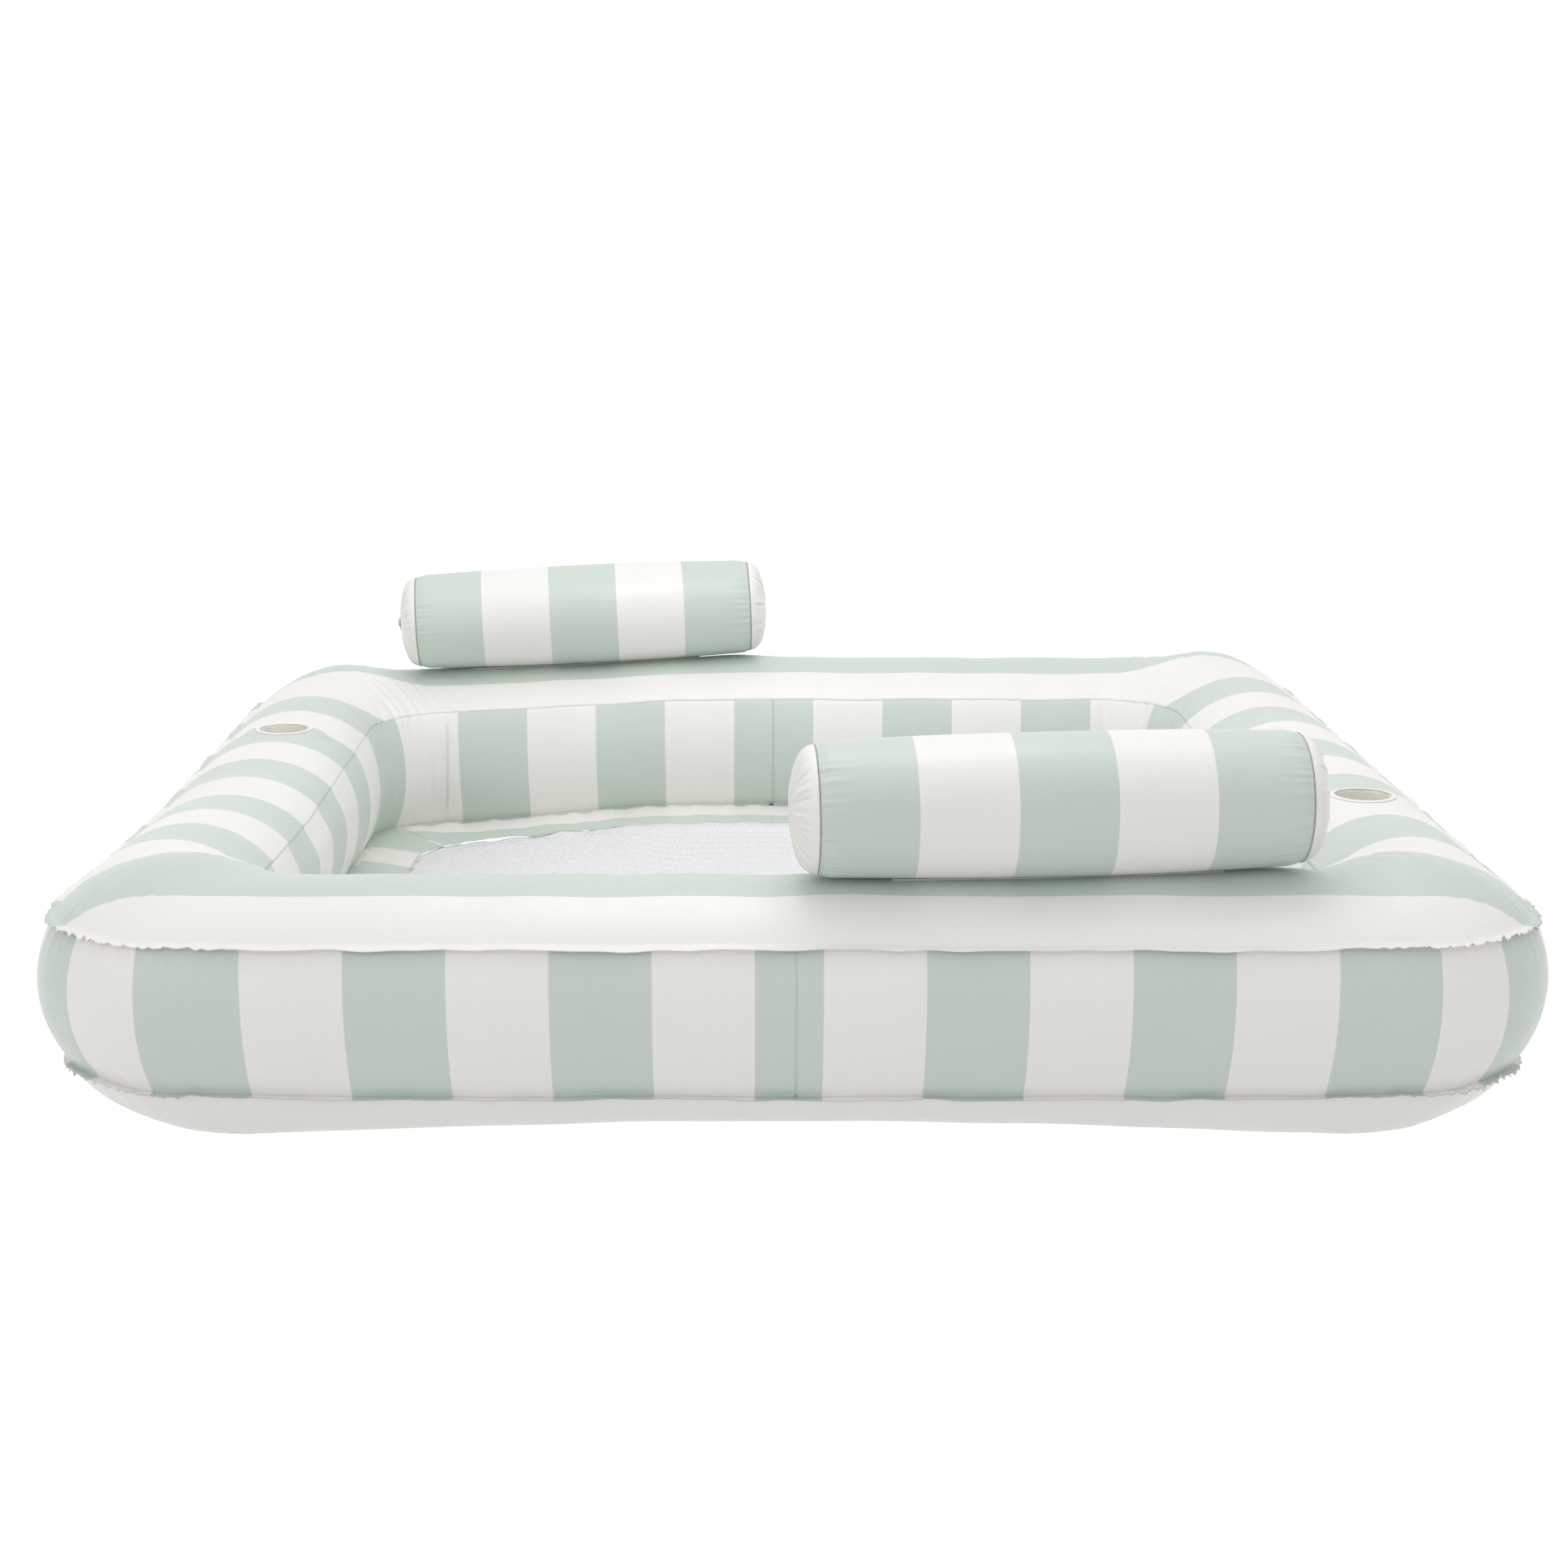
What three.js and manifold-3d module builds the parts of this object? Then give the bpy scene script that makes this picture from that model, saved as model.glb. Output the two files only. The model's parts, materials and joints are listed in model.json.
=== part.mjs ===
// Inflatable pool float: a square air ring with a mesh floor, two bolster pillows and two cup holders.
// Millimetres, +Z up, front towards -Y. Origin: centre of the footprint, on the ground.
// The float is welded from thin vinyl sheets, and every sheet is its own closed solid.
// The left half is the right half turned 180 degrees about Z, apart from how the left chamber settles and
// how each pillow lies.
import * as THREE from 'three';
import { mergeVertices } from 'three/addons/utils/BufferGeometryUtils.js';
import Module from 'manifold-3d';

const wasm = await Module();
wasm.setup();

// ---------- driving dimensions ----------
const SHEET = 0.4; // vinyl sheet
const GAP = 0.3; // clearance between touching pieces

// seam loops: rounded rectangles seen from above
const TOP_OUTER = { halfX: 900, halfY: 890, radius: 150 };
const TOP_INNER = { halfX: 680, halfY: 670, radius: 130 };
const BOTTOM_OUTER = { halfX: 888, halfY: 878, radius: 145 };
const BOTTOM_INNER = { halfX: 692, halfY: 682, radius: 135 };
const TOP_SEAM_Z = 264;
const BOTTOM_SEAM_Z = 77;
const CREST_RISE = 54; // top panel above its seams along the sides
const CORNER_RISE = 14; // what the crest gains at each corner
const BELLY_DROP = 53; // bottom panel below its seams at the middle of a side
const CORNER_DROP = 36; // what the belly gains towards each corner
const OUTER_WALL_BULGE = 30;
const INNER_WALL_BULGE = 27;
const OUTER_MARGIN = 12; // weld flange outside the outer seams
const INNER_MARGIN = 10; // weld margin at the inner seams
const SIDE_STEPS = 6; // steps along each straight side, even so that one falls at its middle
const CORNER_STEPS = 5;
const PANEL_STEPS = 8;
const WALL_STEPS = 4;

const FLOOR_BORDER = 100; // width of the vinyl border round the mesh
const FLOOR_LAP = 12; // mesh lapped under the border
const FLOOR_INNER_RADIUS = 115;
const MESH_SHEET = 0.5;

const CUP = { x: 790, y: -315, radius: 38.5, baseRadius: 34, depth: 120, rimWidth: 5.5, rimHeight: 1.2 };
const CUP_SIDES = 24;

const PILLOW = { y: -780, radius: 85.5, endRadius: 80.5, halfLength: 290, dome: 30, yawDeg: 3, sides: 24 };
// how each pillow lies: its middle, its height over the level crest, its tilt, and the same of its tab's foot
const PILLOW_PLACES = {
  right: { x: 314, lift: 1, tiltDeg: 0.75, footDrop: 0, footTiltDeg: 0 },
  left: { x: 333, lift: -10.5, tiltDeg: -2.3, footDrop: -9.4, footTiltDeg: -2.8 },
};
const PILLOW_GAP = 5; // barrel above the crest it is tabbed to
const PILLOW_FLANGE = 3;
const TAB = { length: 400, width: 28, thickness: 0.8, web: 1.6 };

// The left chamber is a little slack: its top lies lower along the left tube and fades back to level along
// the back tube and towards the front. Its crown is flatter too, except over the back tube, where the
// pillow's chamber rests (fullFrom to fullTo).
const SLACK = {
  drop: 24, flatten: 0.1, xFrom: -50, xTo: -680, yFrom: -670, yTo: -100, fullFrom: 620, fullTo: 760,
  zFrom: 186, zTo: 256,
};

const VALVE = {
  hole: 7,
  flangeRadius: 14,
  flangeHeight: 0.8,
  stemRadius: 5.6,
  bore: 3.9,
  stemDepth: 13,
  lipRadius: 7.6,
  lipHeight: 1,
  capRadius: 6.5,
  capHeight: 1.8,
  nubDepth: 2.2,
  nubTip: 2.9,
  hingeX: -8.5,
  sides: 16,
};

// ---------- materials ----------
const finish = (color, roughness) => () => new THREE.MeshStandardMaterial({ color, roughness, metalness: 0 });
const creamVinyl = finish(0xf0efe9, 0.45);
const sageVinyl = finish(0xc8d4c8, 0.45);
const netFabric = finish(0xe8e8ec, 0.9);
const clearVinyl = finish(0xe6e8e2, 0.3);

const float = new THREE.Group();
float.name = 'pool_float';

function addPiece(name, geometry, material, parent = float) {
  const piece = new THREE.Mesh(geometry, material());
  piece.name = name;
  parent.add(piece);
  return piece;
}

// ---------- geometry helpers ----------
function indexed(positions, triangles) {
  const geometry = new THREE.BufferGeometry();
  geometry.setAttribute('position', new THREE.Float32BufferAttribute(positions, 3));
  geometry.setIndex(triangles);
  geometry.computeVertexNormals();
  return geometry;
}

// A closed sheet: rows[i][j] is the face that the grid's normals point out of, the other face lies
// `thickness` behind it. A looped sheet closes from its last row to its first, as round a ring.
function sheetSolid(rows, thickness, looped) {
  const count = rows.length;
  const width = rows[0].length;
  const rowAt = (i) => rows[looped ? (i + count) % count : THREE.MathUtils.clamp(i, 0, count - 1)];
  const positions = [];
  const behind = [];
  for (let i = 0; i < count; i += 1) {
    for (let j = 0; j < width; j += 1) {
      const along = rowAt(i + 1)[j].clone().sub(rowAt(i - 1)[j]);
      const across = rows[i][Math.min(j + 1, width - 1)].clone().sub(rows[i][Math.max(j - 1, 0)]);
      const normal = along.cross(across).normalize();
      positions.push(...rows[i][j].toArray());
      behind.push(...rows[i][j].clone().addScaledVector(normal, -thickness).toArray());
    }
  }
  const layer = count * width;
  const front = (i, j) => ((i + count) % count) * width + j;
  const back = (i, j) => front(i, j) + layer;
  const triangles = [];
  const quad = (a, b, c, d) => triangles.push(a, b, c, a, c, d);
  const spans = looped ? count : count - 1;
  for (let i = 0; i < spans; i += 1) {
    for (let j = 0; j < width - 1; j += 1) {
      quad(front(i, j), front(i + 1, j), front(i + 1, j + 1), front(i, j + 1));
      quad(back(i, j), back(i, j + 1), back(i + 1, j + 1), back(i + 1, j));
    }
    quad(front(i, 0), back(i, 0), back(i + 1, 0), front(i + 1, 0));
    quad(front(i, width - 1), front(i + 1, width - 1), back(i + 1, width - 1), back(i, width - 1));
  }
  if (!looped) {
    const last = count - 1;
    for (let j = 0; j < width - 1; j += 1) {
      quad(front(0, j), front(0, j + 1), back(0, j + 1), back(0, j));
      quad(front(last, j), back(last, j), back(last, j + 1), front(last, j + 1));
    }
  }
  return indexed([...positions, ...behind], triangles);
}

// A solid turned about local Z from [radius, height] points, listed anticlockwise. Points on the axis are
// merged to one.
function turned(outline, sides) {
  const geometry = new THREE.LatheGeometry(outline.map(([r, h]) => new THREE.Vector2(r, h)), sides);
  geometry.rotateX(Math.PI / 2);
  return geometry;
}

function toSolid(geometry) {
  const bare = geometry.clone();
  bare.deleteAttribute('normal');
  if (bare.getAttribute('uv')) bare.deleteAttribute('uv');
  const merged = mergeVertices(bare, 1e-4);
  return new wasm.Manifold(new wasm.Mesh({
    numProp: 3,
    vertProperties: Float32Array.from(merged.getAttribute('position').array),
    triVerts: Uint32Array.from(merged.getIndex().array),
  }));
}

function toGeometry(solid) {
  const mesh = solid.getMesh();
  return indexed([...mesh.vertProperties], [...mesh.triVerts]);
}

function pierced(geometry, cutters) {
  let solid = toSolid(geometry);
  for (const cutter of cutters) solid = solid.subtract(toSolid(cutter));
  return toGeometry(solid);
}

function fused(geometries) {
  return toGeometry(geometries.map(toSolid).reduce((whole, next) => whole.add(next)));
}

// ---------- stations round the ring ----------
// Each station has a side (0 front, 1 right, 2 back, 3 left) and either f, from -1 to 1 along the
// straight, or turn, from 0 to 90 degrees round the corner that ends that side.
function ringStations() {
  const stations = [];
  for (let side = 0; side < 4; side += 1) {
    for (let k = 0; k < SIDE_STEPS; k += 1) stations.push({ side, f: -1 + (2 * k) / SIDE_STEPS });
    for (let k = 0; k < CORNER_STEPS; k += 1) stations.push({ side, f: 1, turn: (k * 90) / CORNER_STEPS });
  }
  const frontMiddle = SIDE_STEPS / 2;
  return [...stations.slice(frontMiddle), ...stations.slice(0, frontMiddle)];
}

const STATIONS = ringStations();
const BACK_MIDDLE = STATIONS.length / 2;

function outwardAt(station) {
  const angle = THREE.MathUtils.degToRad(-90 + 90 * station.side + (station.turn ?? 0));
  return new THREE.Vector3(Math.cos(angle), Math.sin(angle), 0);
}

// The point of a seam loop at a station: along the straight, or round the arc of its corner.
function loopPoint(loop, station, z) {
  const facing = outwardAt({ side: station.side });
  const heading = new THREE.Vector3(-facing.y, facing.x, 0);
  const reach = Math.abs(facing.x) > 0.5 ? loop.halfX : loop.halfY;
  const run = (Math.abs(facing.x) > 0.5 ? loop.halfY : loop.halfX) - loop.radius;
  const point = facing.clone().multiplyScalar(reach - loop.radius).addScaledVector(heading, run * station.f);
  point.addScaledVector(outwardAt(station), loop.radius);
  point.z = z;
  return point;
}

// how far round its corner a station is: 0 along the straights, 1 on the diagonal
const cornerShare = (station) => Math.sin(THREE.MathUtils.degToRad(2 * (station.turn ?? 0))) ** 2;

// Height of a circular arc of a given chord and rise, at v from -1 to 1 across the chord.
function arcHeight(chord, rise, v) {
  const radius = (chord * chord / 4 + rise * rise) / (2 * rise);
  return Math.sqrt(radius * radius - (v * chord / 2) ** 2) - (radius - rise);
}

function crestZ(station, chord, v) {
  return TOP_SEAM_Z + arcHeight(chord, CREST_RISE + CORNER_RISE * cornerShare(station), v);
}

// The belly hangs lowest at the corners, where the ground flattens it.
function bellyZ(station, chord, v) {
  const drop = BELLY_DROP + CORNER_DROP * (station.turn === undefined ? station.f ** 2 : 1);
  return Math.max(0, BOTTOM_SEAM_Z - arcHeight(chord, drop, v));
}

// 0 at `from`, 1 at `to`, eased at both ends
function eased(from, to, value) {
  const k = Math.min(1, Math.max(0, (value - from) / (to - from)));
  return k * k * (3 - 2 * k);
}

// Lowers the points of a sheet where the left chamber is slack. A cup holder hangs from its rim, so it
// goes down as a whole.
function settled(geometry, hanging = false) {
  const { position } = geometry.attributes;
  for (let i = 0; i < position.count; i += 1) {
    const z = position.getZ(i);
    const share = eased(SLACK.xFrom, SLACK.xTo, position.getX(i)) * eased(SLACK.yFrom, SLACK.yTo, position.getY(i));
    const crown = Math.max(0, z - TOP_SEAM_Z - SHEET - GAP);
    const drop = SLACK.drop * (hanging ? 1 : eased(SLACK.zFrom, SLACK.zTo, z));
    const flattened = SLACK.flatten * (1 - eased(SLACK.fullFrom, SLACK.fullTo, position.getY(i)));
    position.setZ(i, z - share * (drop + flattened * crown));
  }
  geometry.computeVertexNormals();
  return geometry;
}

const acrossSteps = (steps) => Array.from({ length: steps + 1 }, (unused, j) => j / steps);

// Top panel: from the inner seam over the crest to the outer seam and out into its weld flange.
function topPanelRow(station) {
  const inner = loopPoint(TOP_INNER, station, 0);
  const outer = loopPoint(TOP_OUTER, station, 0);
  const chord = inner.distanceTo(outer);
  const lift = SHEET + GAP;
  const row = acrossSteps(PANEL_STEPS).map((u) => {
    const point = inner.clone().lerp(outer, u);
    point.z = crestZ(station, chord, 2 * u - 1) + lift;
    return point;
  });
  row.push(outer.clone().addScaledVector(outwardAt(station), OUTER_MARGIN).setZ(TOP_SEAM_Z + lift));
  return row;
}

// Bottom panel: from the outer weld flange under the belly to the inner one.
function bottomPanelRow(station) {
  const inner = loopPoint(BOTTOM_INNER, station, 0);
  const outer = loopPoint(BOTTOM_OUTER, station, 0);
  const chord = inner.distanceTo(outer);
  const level = BOTTOM_SEAM_Z - 2 * SHEET - GAP;
  const outward = outwardAt(station);
  const belly = acrossSteps(PANEL_STEPS).map((u) => {
    const point = outer.clone().lerp(inner, u);
    point.z = Math.max(0, bellyZ(station, chord, 2 * u - 1) - BOTTOM_SEAM_Z + level);
    return point;
  });
  return [
    outer.clone().addScaledVector(outward, OUTER_MARGIN).setZ(level),
    ...belly,
    inner.clone().addScaledVector(outward, -INNER_MARGIN).setZ(level),
  ];
}

// Face of a wall between its bottom and top seams, bulging by `bulge` along the station's outward
// direction.
function wallFace(bottomLoop, topLoop, station, bulge) {
  const low = loopPoint(bottomLoop, station, BOTTOM_SEAM_Z);
  const high = loopPoint(topLoop, station, TOP_SEAM_Z);
  const chord = low.distanceTo(high);
  return acrossSteps(WALL_STEPS).map((u) => low.clone().lerp(high, u)
    .addScaledVector(outwardAt(station), Math.sign(bulge) * arcHeight(chord, Math.abs(bulge), 2 * u - 1)));
}

// Outer wall: its margins turn outwards against those of the bottom and top panels.
function outerWallRow(station) {
  const face = wallFace(BOTTOM_OUTER, TOP_OUTER, station, OUTER_WALL_BULGE);
  const outward = outwardAt(station);
  const low = face[0].clone().addScaledVector(outward, OUTER_MARGIN);
  const high = face[WALL_STEPS].clone().addScaledVector(outward, OUTER_MARGIN).setZ(TOP_SEAM_Z - SHEET);
  face[WALL_STEPS].z -= SHEET;
  return [low, ...face, high];
}

// Inner wall: its top margin lies inside the ring under the top panel, its bottom one over the floor.
function innerWallRow(station) {
  const face = wallFace(BOTTOM_INNER, TOP_INNER, station, -INNER_WALL_BULGE);
  const outward = outwardAt(station);
  const panel = topPanelRow(station);
  const slope = panel[1].clone().sub(panel[0]).normalize();
  const high = face[WALL_STEPS].clone().addScaledVector(slope, INNER_MARGIN);
  high.z -= SHEET + GAP;
  face[WALL_STEPS].z -= SHEET;
  face[0].z += SHEET + GAP;
  const low = face[0].clone().addScaledVector(outward, -INNER_MARGIN);
  return [high, ...face.reverse(), low];
}

// Half of a wall, from the front middle round one side to the back middle, cut short at the lap seams.
function halfWall(rowOf, right) {
  const first = right ? 0 : BACK_MIDDLE;
  const rows = [];
  for (let k = 0; k <= BACK_MIDDLE; k += 1) rows.push(rowOf(STATIONS[(first + k) % STATIONS.length]));
  const sign = right ? 1 : -1;
  for (const point of [...rows[0], ...rows[rows.length - 1]]) point.x = sign * GAP;
  return rows;
}

// ---------- cup holders ----------
// Height of the right tube's top panel above the ground beside the cup, on the smooth arc.
function tubeTopZ(x) {
  const chord = TOP_OUTER.halfX - TOP_INNER.halfX;
  const v = (2 * (Math.abs(x) - TOP_INNER.halfX)) / chord - 1;
  return TOP_SEAM_Z + arcHeight(chord, CREST_RISE, v) + SHEET + GAP;
}

function ringOfPoints(radius, zOf) {
  return Array.from({ length: CUP_SIDES }, (unused, i) => {
    const angle = (2 * Math.PI * i) / CUP_SIDES;
    const x = CUP.x + radius * Math.cos(angle);
    return new THREE.Vector3(x, CUP.y + radius * Math.sin(angle), zOf(x));
  });
}

const cupFloorZ = tubeTopZ(CUP.x) - CUP.depth;

// rows of a looped sheet from rings of points
const ringsToRows = (rings) => rings[0].map((unused, i) => rings.map((ring) => ring[i]));

function cupHolder(parent, side) {
  const hung = (geometry) => (side === 'right' ? geometry
    : settled(geometry.rotateZ(Math.PI), true).rotateZ(-Math.PI));
  const outer = CUP.radius + SHEET;
  const wellTop = ringOfPoints(outer, tubeTopZ);
  const wellMiddle = ringOfPoints((outer + CUP.baseRadius) / 2, () => (tubeTopZ(CUP.x) + cupFloorZ) / 2);
  const wellFoot = ringOfPoints(CUP.baseRadius, () => cupFloorZ);
  addPiece(`cup_well_${side}`, hung(sheetSolid(ringsToRows([wellFoot, wellMiddle, wellTop]), SHEET, true)),
    creamVinyl, parent);

  const lift = (x) => tubeTopZ(x) + GAP + CUP.rimHeight;
  const rimOuter = ringOfPoints(CUP.radius + CUP.rimWidth, lift);
  const rimInner = ringOfPoints(CUP.radius - SHEET, lift);
  addPiece(`cup_rim_${side}`, hung(sheetSolid(ringsToRows([rimOuter, rimInner]), CUP.rimHeight, true)),
    clearVinyl, parent);

  const base = new THREE.CylinderGeometry(CUP.baseRadius, CUP.baseRadius, 2 * SHEET, CUP_SIDES);
  base.rotateX(Math.PI / 2);
  base.translate(CUP.x, CUP.y, cupFloorZ - SHEET - GAP);
  addPiece(`cup_base_${side}`, hung(base), creamVinyl, parent);
}

// the hole that a cup holder's well passes through
function cupHole() {
  const hole = new THREE.CylinderGeometry(CUP.radius + 3 * GAP, CUP.radius + 3 * GAP, 80, CUP_SIDES);
  hole.rotateX(Math.PI / 2);
  hole.translate(CUP.x, CUP.y, tubeTopZ(CUP.x));
  return hole;
}

// ---------- valves ----------
// A push-in valve about local Z, which points out of the sheet that carries it. The stem is pushed in.
function valve(parent, name) {
  const lipZ = GAP + VALVE.flangeHeight + GAP;
  const lipTop = lipZ + VALVE.lipHeight;
  const capZ = lipTop + GAP;
  const flange = turned([
    [VALVE.stemRadius + GAP, GAP],
    [VALVE.flangeRadius, GAP],
    [VALVE.flangeRadius, GAP + VALVE.flangeHeight / 2],
    [VALVE.flangeRadius - 2, GAP + VALVE.flangeHeight],
    [VALVE.stemRadius + GAP, GAP + VALVE.flangeHeight],
    [VALVE.stemRadius + GAP, GAP],
  ], VALVE.sides);
  addPiece(`${name}_flange`, flange, clearVinyl, parent);

  const tube = turned([
    [VALVE.bore, -VALVE.stemDepth],
    [VALVE.stemRadius, -VALVE.stemDepth],
    [VALVE.stemRadius, lipZ],
    [VALVE.lipRadius, lipZ],
    [VALVE.lipRadius, lipTop],
    [VALVE.bore, lipTop],
    [VALVE.bore, -VALVE.stemDepth],
  ], VALVE.sides);
  const ear = new THREE.BoxGeometry(4, 4, VALVE.lipHeight);
  ear.translate(VALVE.hingeX + 0.5, 0, lipZ + VALVE.lipHeight / 2);
  addPiece(`${name}_stem`, fused([tube, ear]), clearVinyl, parent);

  const flapRadius = VALVE.bore + 0.7;
  const flap = new THREE.CylinderGeometry(flapRadius, flapRadius, 0.5, VALVE.sides);
  flap.rotateX(Math.PI / 2);
  flap.translate(0, 0, -VALVE.stemDepth - GAP - 0.25);
  addPiece(`${name}_flap`, flap, clearVinyl, parent);

  const cap = turned([
    [0, capZ - GAP - VALVE.nubDepth],
    [VALVE.nubTip, capZ - GAP - VALVE.nubDepth],
    [VALVE.nubTip + 0.4, capZ],
    [VALVE.capRadius, capZ],
    [VALVE.capRadius, capZ + VALVE.capHeight * 0.6],
    [VALVE.capRadius - 1, capZ + VALVE.capHeight],
    [0, capZ + VALVE.capHeight],
  ], VALVE.sides);
  const strap = new THREE.BoxGeometry(3.5, 3, 0.7);
  strap.translate(VALVE.hingeX + 1.5, 0, capZ + 0.45);
  addPiece(`${name}_plug`, fused([cap, strap]), clearVinyl, parent);
}

// ---------- pillows ----------
// A pillow's own frame: local X along the barrel, local Z up, origin on the barrel's axis.
function pillow(parent, side) {
  const lie = PILLOW_PLACES[side];
  const crest = TOP_SEAM_Z + CREST_RISE + SHEET + GAP;
  const rest = new THREE.Group();
  rest.position.set(lie.x, PILLOW.y, crest + PILLOW_GAP + PILLOW.radius + lie.lift);
  rest.rotation.order = 'ZYX';
  rest.rotation.z = THREE.MathUtils.degToRad(PILLOW.yawDeg);
  rest.rotation.y = -THREE.MathUtils.degToRad(lie.tiltDeg);
  parent.add(rest);

  const radius = PILLOW.radius;
  const half = PILLOW.halfLength;
  const end = PILLOW.endRadius;
  const lip = end + PILLOW_FLANGE;
  const along = (geometry) => geometry.rotateY(Math.PI / 2);
  // fullest in its middle: r = radius - (radius - end)(x / half)^2.5
  const swell = [-0.6, 0, 0.6].map((share) => [radius - (radius - end) * Math.abs(share) ** 2.5, share * half]);
  const barrel = turned([
    [end - SHEET, -half],
    [lip, -half],
    [lip, -half + SHEET],
    [end, -half + SHEET],
    ...swell,
    [end, half - SHEET],
    [lip, half - SHEET],
    [lip, half],
    [end - SHEET, half],
    ...swell.map(([r, x]) => [r - SHEET, x]).reverse(),
    [end - SHEET, -half],
  ], PILLOW.sides);
  addPiece(`pillow_${side}_barrel`, along(barrel), sageVinyl, rest);

  // a domed end: quarter of an ellipse from the seam flange to its hole, or to the axis
  const domeSteps = 4;
  const dome = (holeRadius) => {
    const faceAt = (r, rise) => half + GAP + rise * Math.sqrt(1 - (r / end) ** 2);
    const radii = Array.from({ length: domeSteps }, (unused, k) => end * Math.cos((k * Math.PI) / (2 * domeSteps)));
    const outerFace = [...radii, holeRadius].map((r) => [r, faceAt(r, PILLOW.dome) + SHEET]);
    const innerFace = [...radii.slice(1), holeRadius].map((r) => [r, faceAt(r, PILLOW.dome)]).reverse();
    const outline = [...innerFace, [end - 2, half + GAP], [lip, half + GAP], [lip, half + GAP + SHEET],
      ...outerFace];
    if (holeRadius > 0) outline.push(innerFace[0]);
    return turned(outline, PILLOW.sides);
  };
  addPiece(`pillow_${side}_outer_cap`, along(dome(VALVE.hole)), creamVinyl, rest);
  addPiece(`pillow_${side}_inner_cap`, along(dome(0)).rotateZ(Math.PI), creamVinyl, rest);

  const fitting = new THREE.Group();
  fitting.position.x = half + GAP + PILLOW.dome + SHEET;
  fitting.rotation.y = Math.PI / 2;
  rest.add(fitting);
  valve(fitting, `pillow_${side}_valve`);

  // the tab that the pillow is welded down with: a flat foot on the panel and a thin web up to the barrel
  const footZ = -radius - PILLOW_GAP - lie.lift + GAP + lie.footDrop;
  const footTilt = THREE.MathUtils.degToRad(lie.footTiltDeg - lie.tiltDeg);
  const foot = new THREE.BoxGeometry(TAB.length, TAB.width, TAB.thickness);
  foot.translate(0, 0, TAB.thickness / 2);
  foot.rotateY(-footTilt);
  foot.translate(0, 0, footZ);
  const reach = TAB.length / 2 - 1;
  const webFoot = (x) => footZ + TAB.thickness / 2 + x * Math.tan(footTilt);
  const outline = [[-reach, webFoot(-reach)], [reach, webFoot(reach)], [reach, -radius - GAP], [-reach, -radius - GAP]];
  const web = new THREE.ExtrudeGeometry(
    new THREE.Shape(outline.map(([x, z]) => new THREE.Vector2(x, z))), { depth: TAB.web, bevelEnabled: false });
  web.rotateX(Math.PI / 2);
  web.translate(0, TAB.web / 2, 0);
  addPiece(`pillow_${side}_tab`, fused([foot, web]), creamVinyl, rest);
}

// ---------- the ring ----------
const opposite = (geometry) => geometry.clone().rotateZ(Math.PI);

addPiece('top_panel',
  settled(pierced(sheetSolid(STATIONS.map(topPanelRow).map((row) => row.reverse()), SHEET, true),
    [cupHole(), opposite(cupHole())])), sageVinyl);
addPiece('bottom_panel', sheetSolid(STATIONS.map(bottomPanelRow).map((row) => row.reverse()), SHEET, true),
  creamVinyl);

// Outermost point of the outer wall at the middle of the right side, where the ring's valve sits.
const rightMiddle = STATIONS.find((station) => station.side === 1 && station.f === 0);
const valveSeat = wallFace(BOTTOM_OUTER, TOP_OUTER, rightMiddle, OUTER_WALL_BULGE)[WALL_STEPS / 2];

const valveHole = new THREE.CylinderGeometry(VALVE.hole, VALVE.hole, 40, VALVE.sides);
valveHole.rotateZ(Math.PI / 2);
valveHole.translate(valveSeat.x, valveSeat.y, valveSeat.z);
addPiece('outer_wall_right', pierced(sheetSolid(halfWall(outerWallRow, true), SHEET, false), [valveHole]),
  creamVinyl);
addPiece('outer_wall_left',
  settled(pierced(sheetSolid(halfWall(outerWallRow, false), SHEET, false), [opposite(valveHole)])), creamVinyl);
for (const [side, right] of [['right', true], ['left', false]]) {
  addPiece(`inner_wall_${side}`, settled(sheetSolid(halfWall(innerWallRow, right), SHEET, false)), sageVinyl);
}

// Divider: a vinyl sheet across the tube that parts the ring into two air chambers.
function divider() {
  const inset = 4;
  const section = [
    ...topPanelRow(STATIONS[0]).slice(0, -1).reverse(),
    ...wallFace(BOTTOM_INNER, TOP_INNER, STATIONS[0], -INNER_WALL_BULGE).reverse(),
    ...bottomPanelRow(STATIONS[0]).slice(1, -1).reverse(),
    ...wallFace(BOTTOM_OUTER, TOP_OUTER, STATIONS[0], OUTER_WALL_BULGE),
  ];
  const middle = new THREE.Vector2(-(TOP_OUTER.halfY + TOP_INNER.halfY) / 2, (TOP_SEAM_Z + BOTTOM_SEAM_Z) / 2);
  const outline = [];
  for (const { y, z } of section) {
    const spoke = new THREE.Vector2(y, z).sub(middle);
    const point = spoke.setLength(spoke.length() - inset).add(middle);
    if (!outline.some((other) => other.distanceTo(point) < 1)) outline.push(point);
  }
  const plate = new THREE.ExtrudeGeometry(new THREE.Shape(outline), { depth: SHEET, bevelEnabled: false });
  plate.translate(0, 0, -SHEET / 2);
  const turn = new THREE.Matrix4().makeBasis(
    new THREE.Vector3(0, 1, 0), new THREE.Vector3(0, 0, 1), new THREE.Vector3(1, 0, 0));
  return plate.applyMatrix4(turn);
}
addPiece('divider_front', divider(), creamVinyl);
addPiece('divider_back', opposite(divider()), creamVinyl);

// ---------- the floor ----------
const borderZ = BOTTOM_SEAM_Z;
const borderInner = {
  halfX: BOTTOM_INNER.halfX - FLOOR_BORDER,
  halfY: BOTTOM_INNER.halfY - FLOOR_BORDER,
  radius: FLOOR_INNER_RADIUS,
};
const SIDE_NAMES = ['front', 'right', 'back', 'left'];

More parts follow.
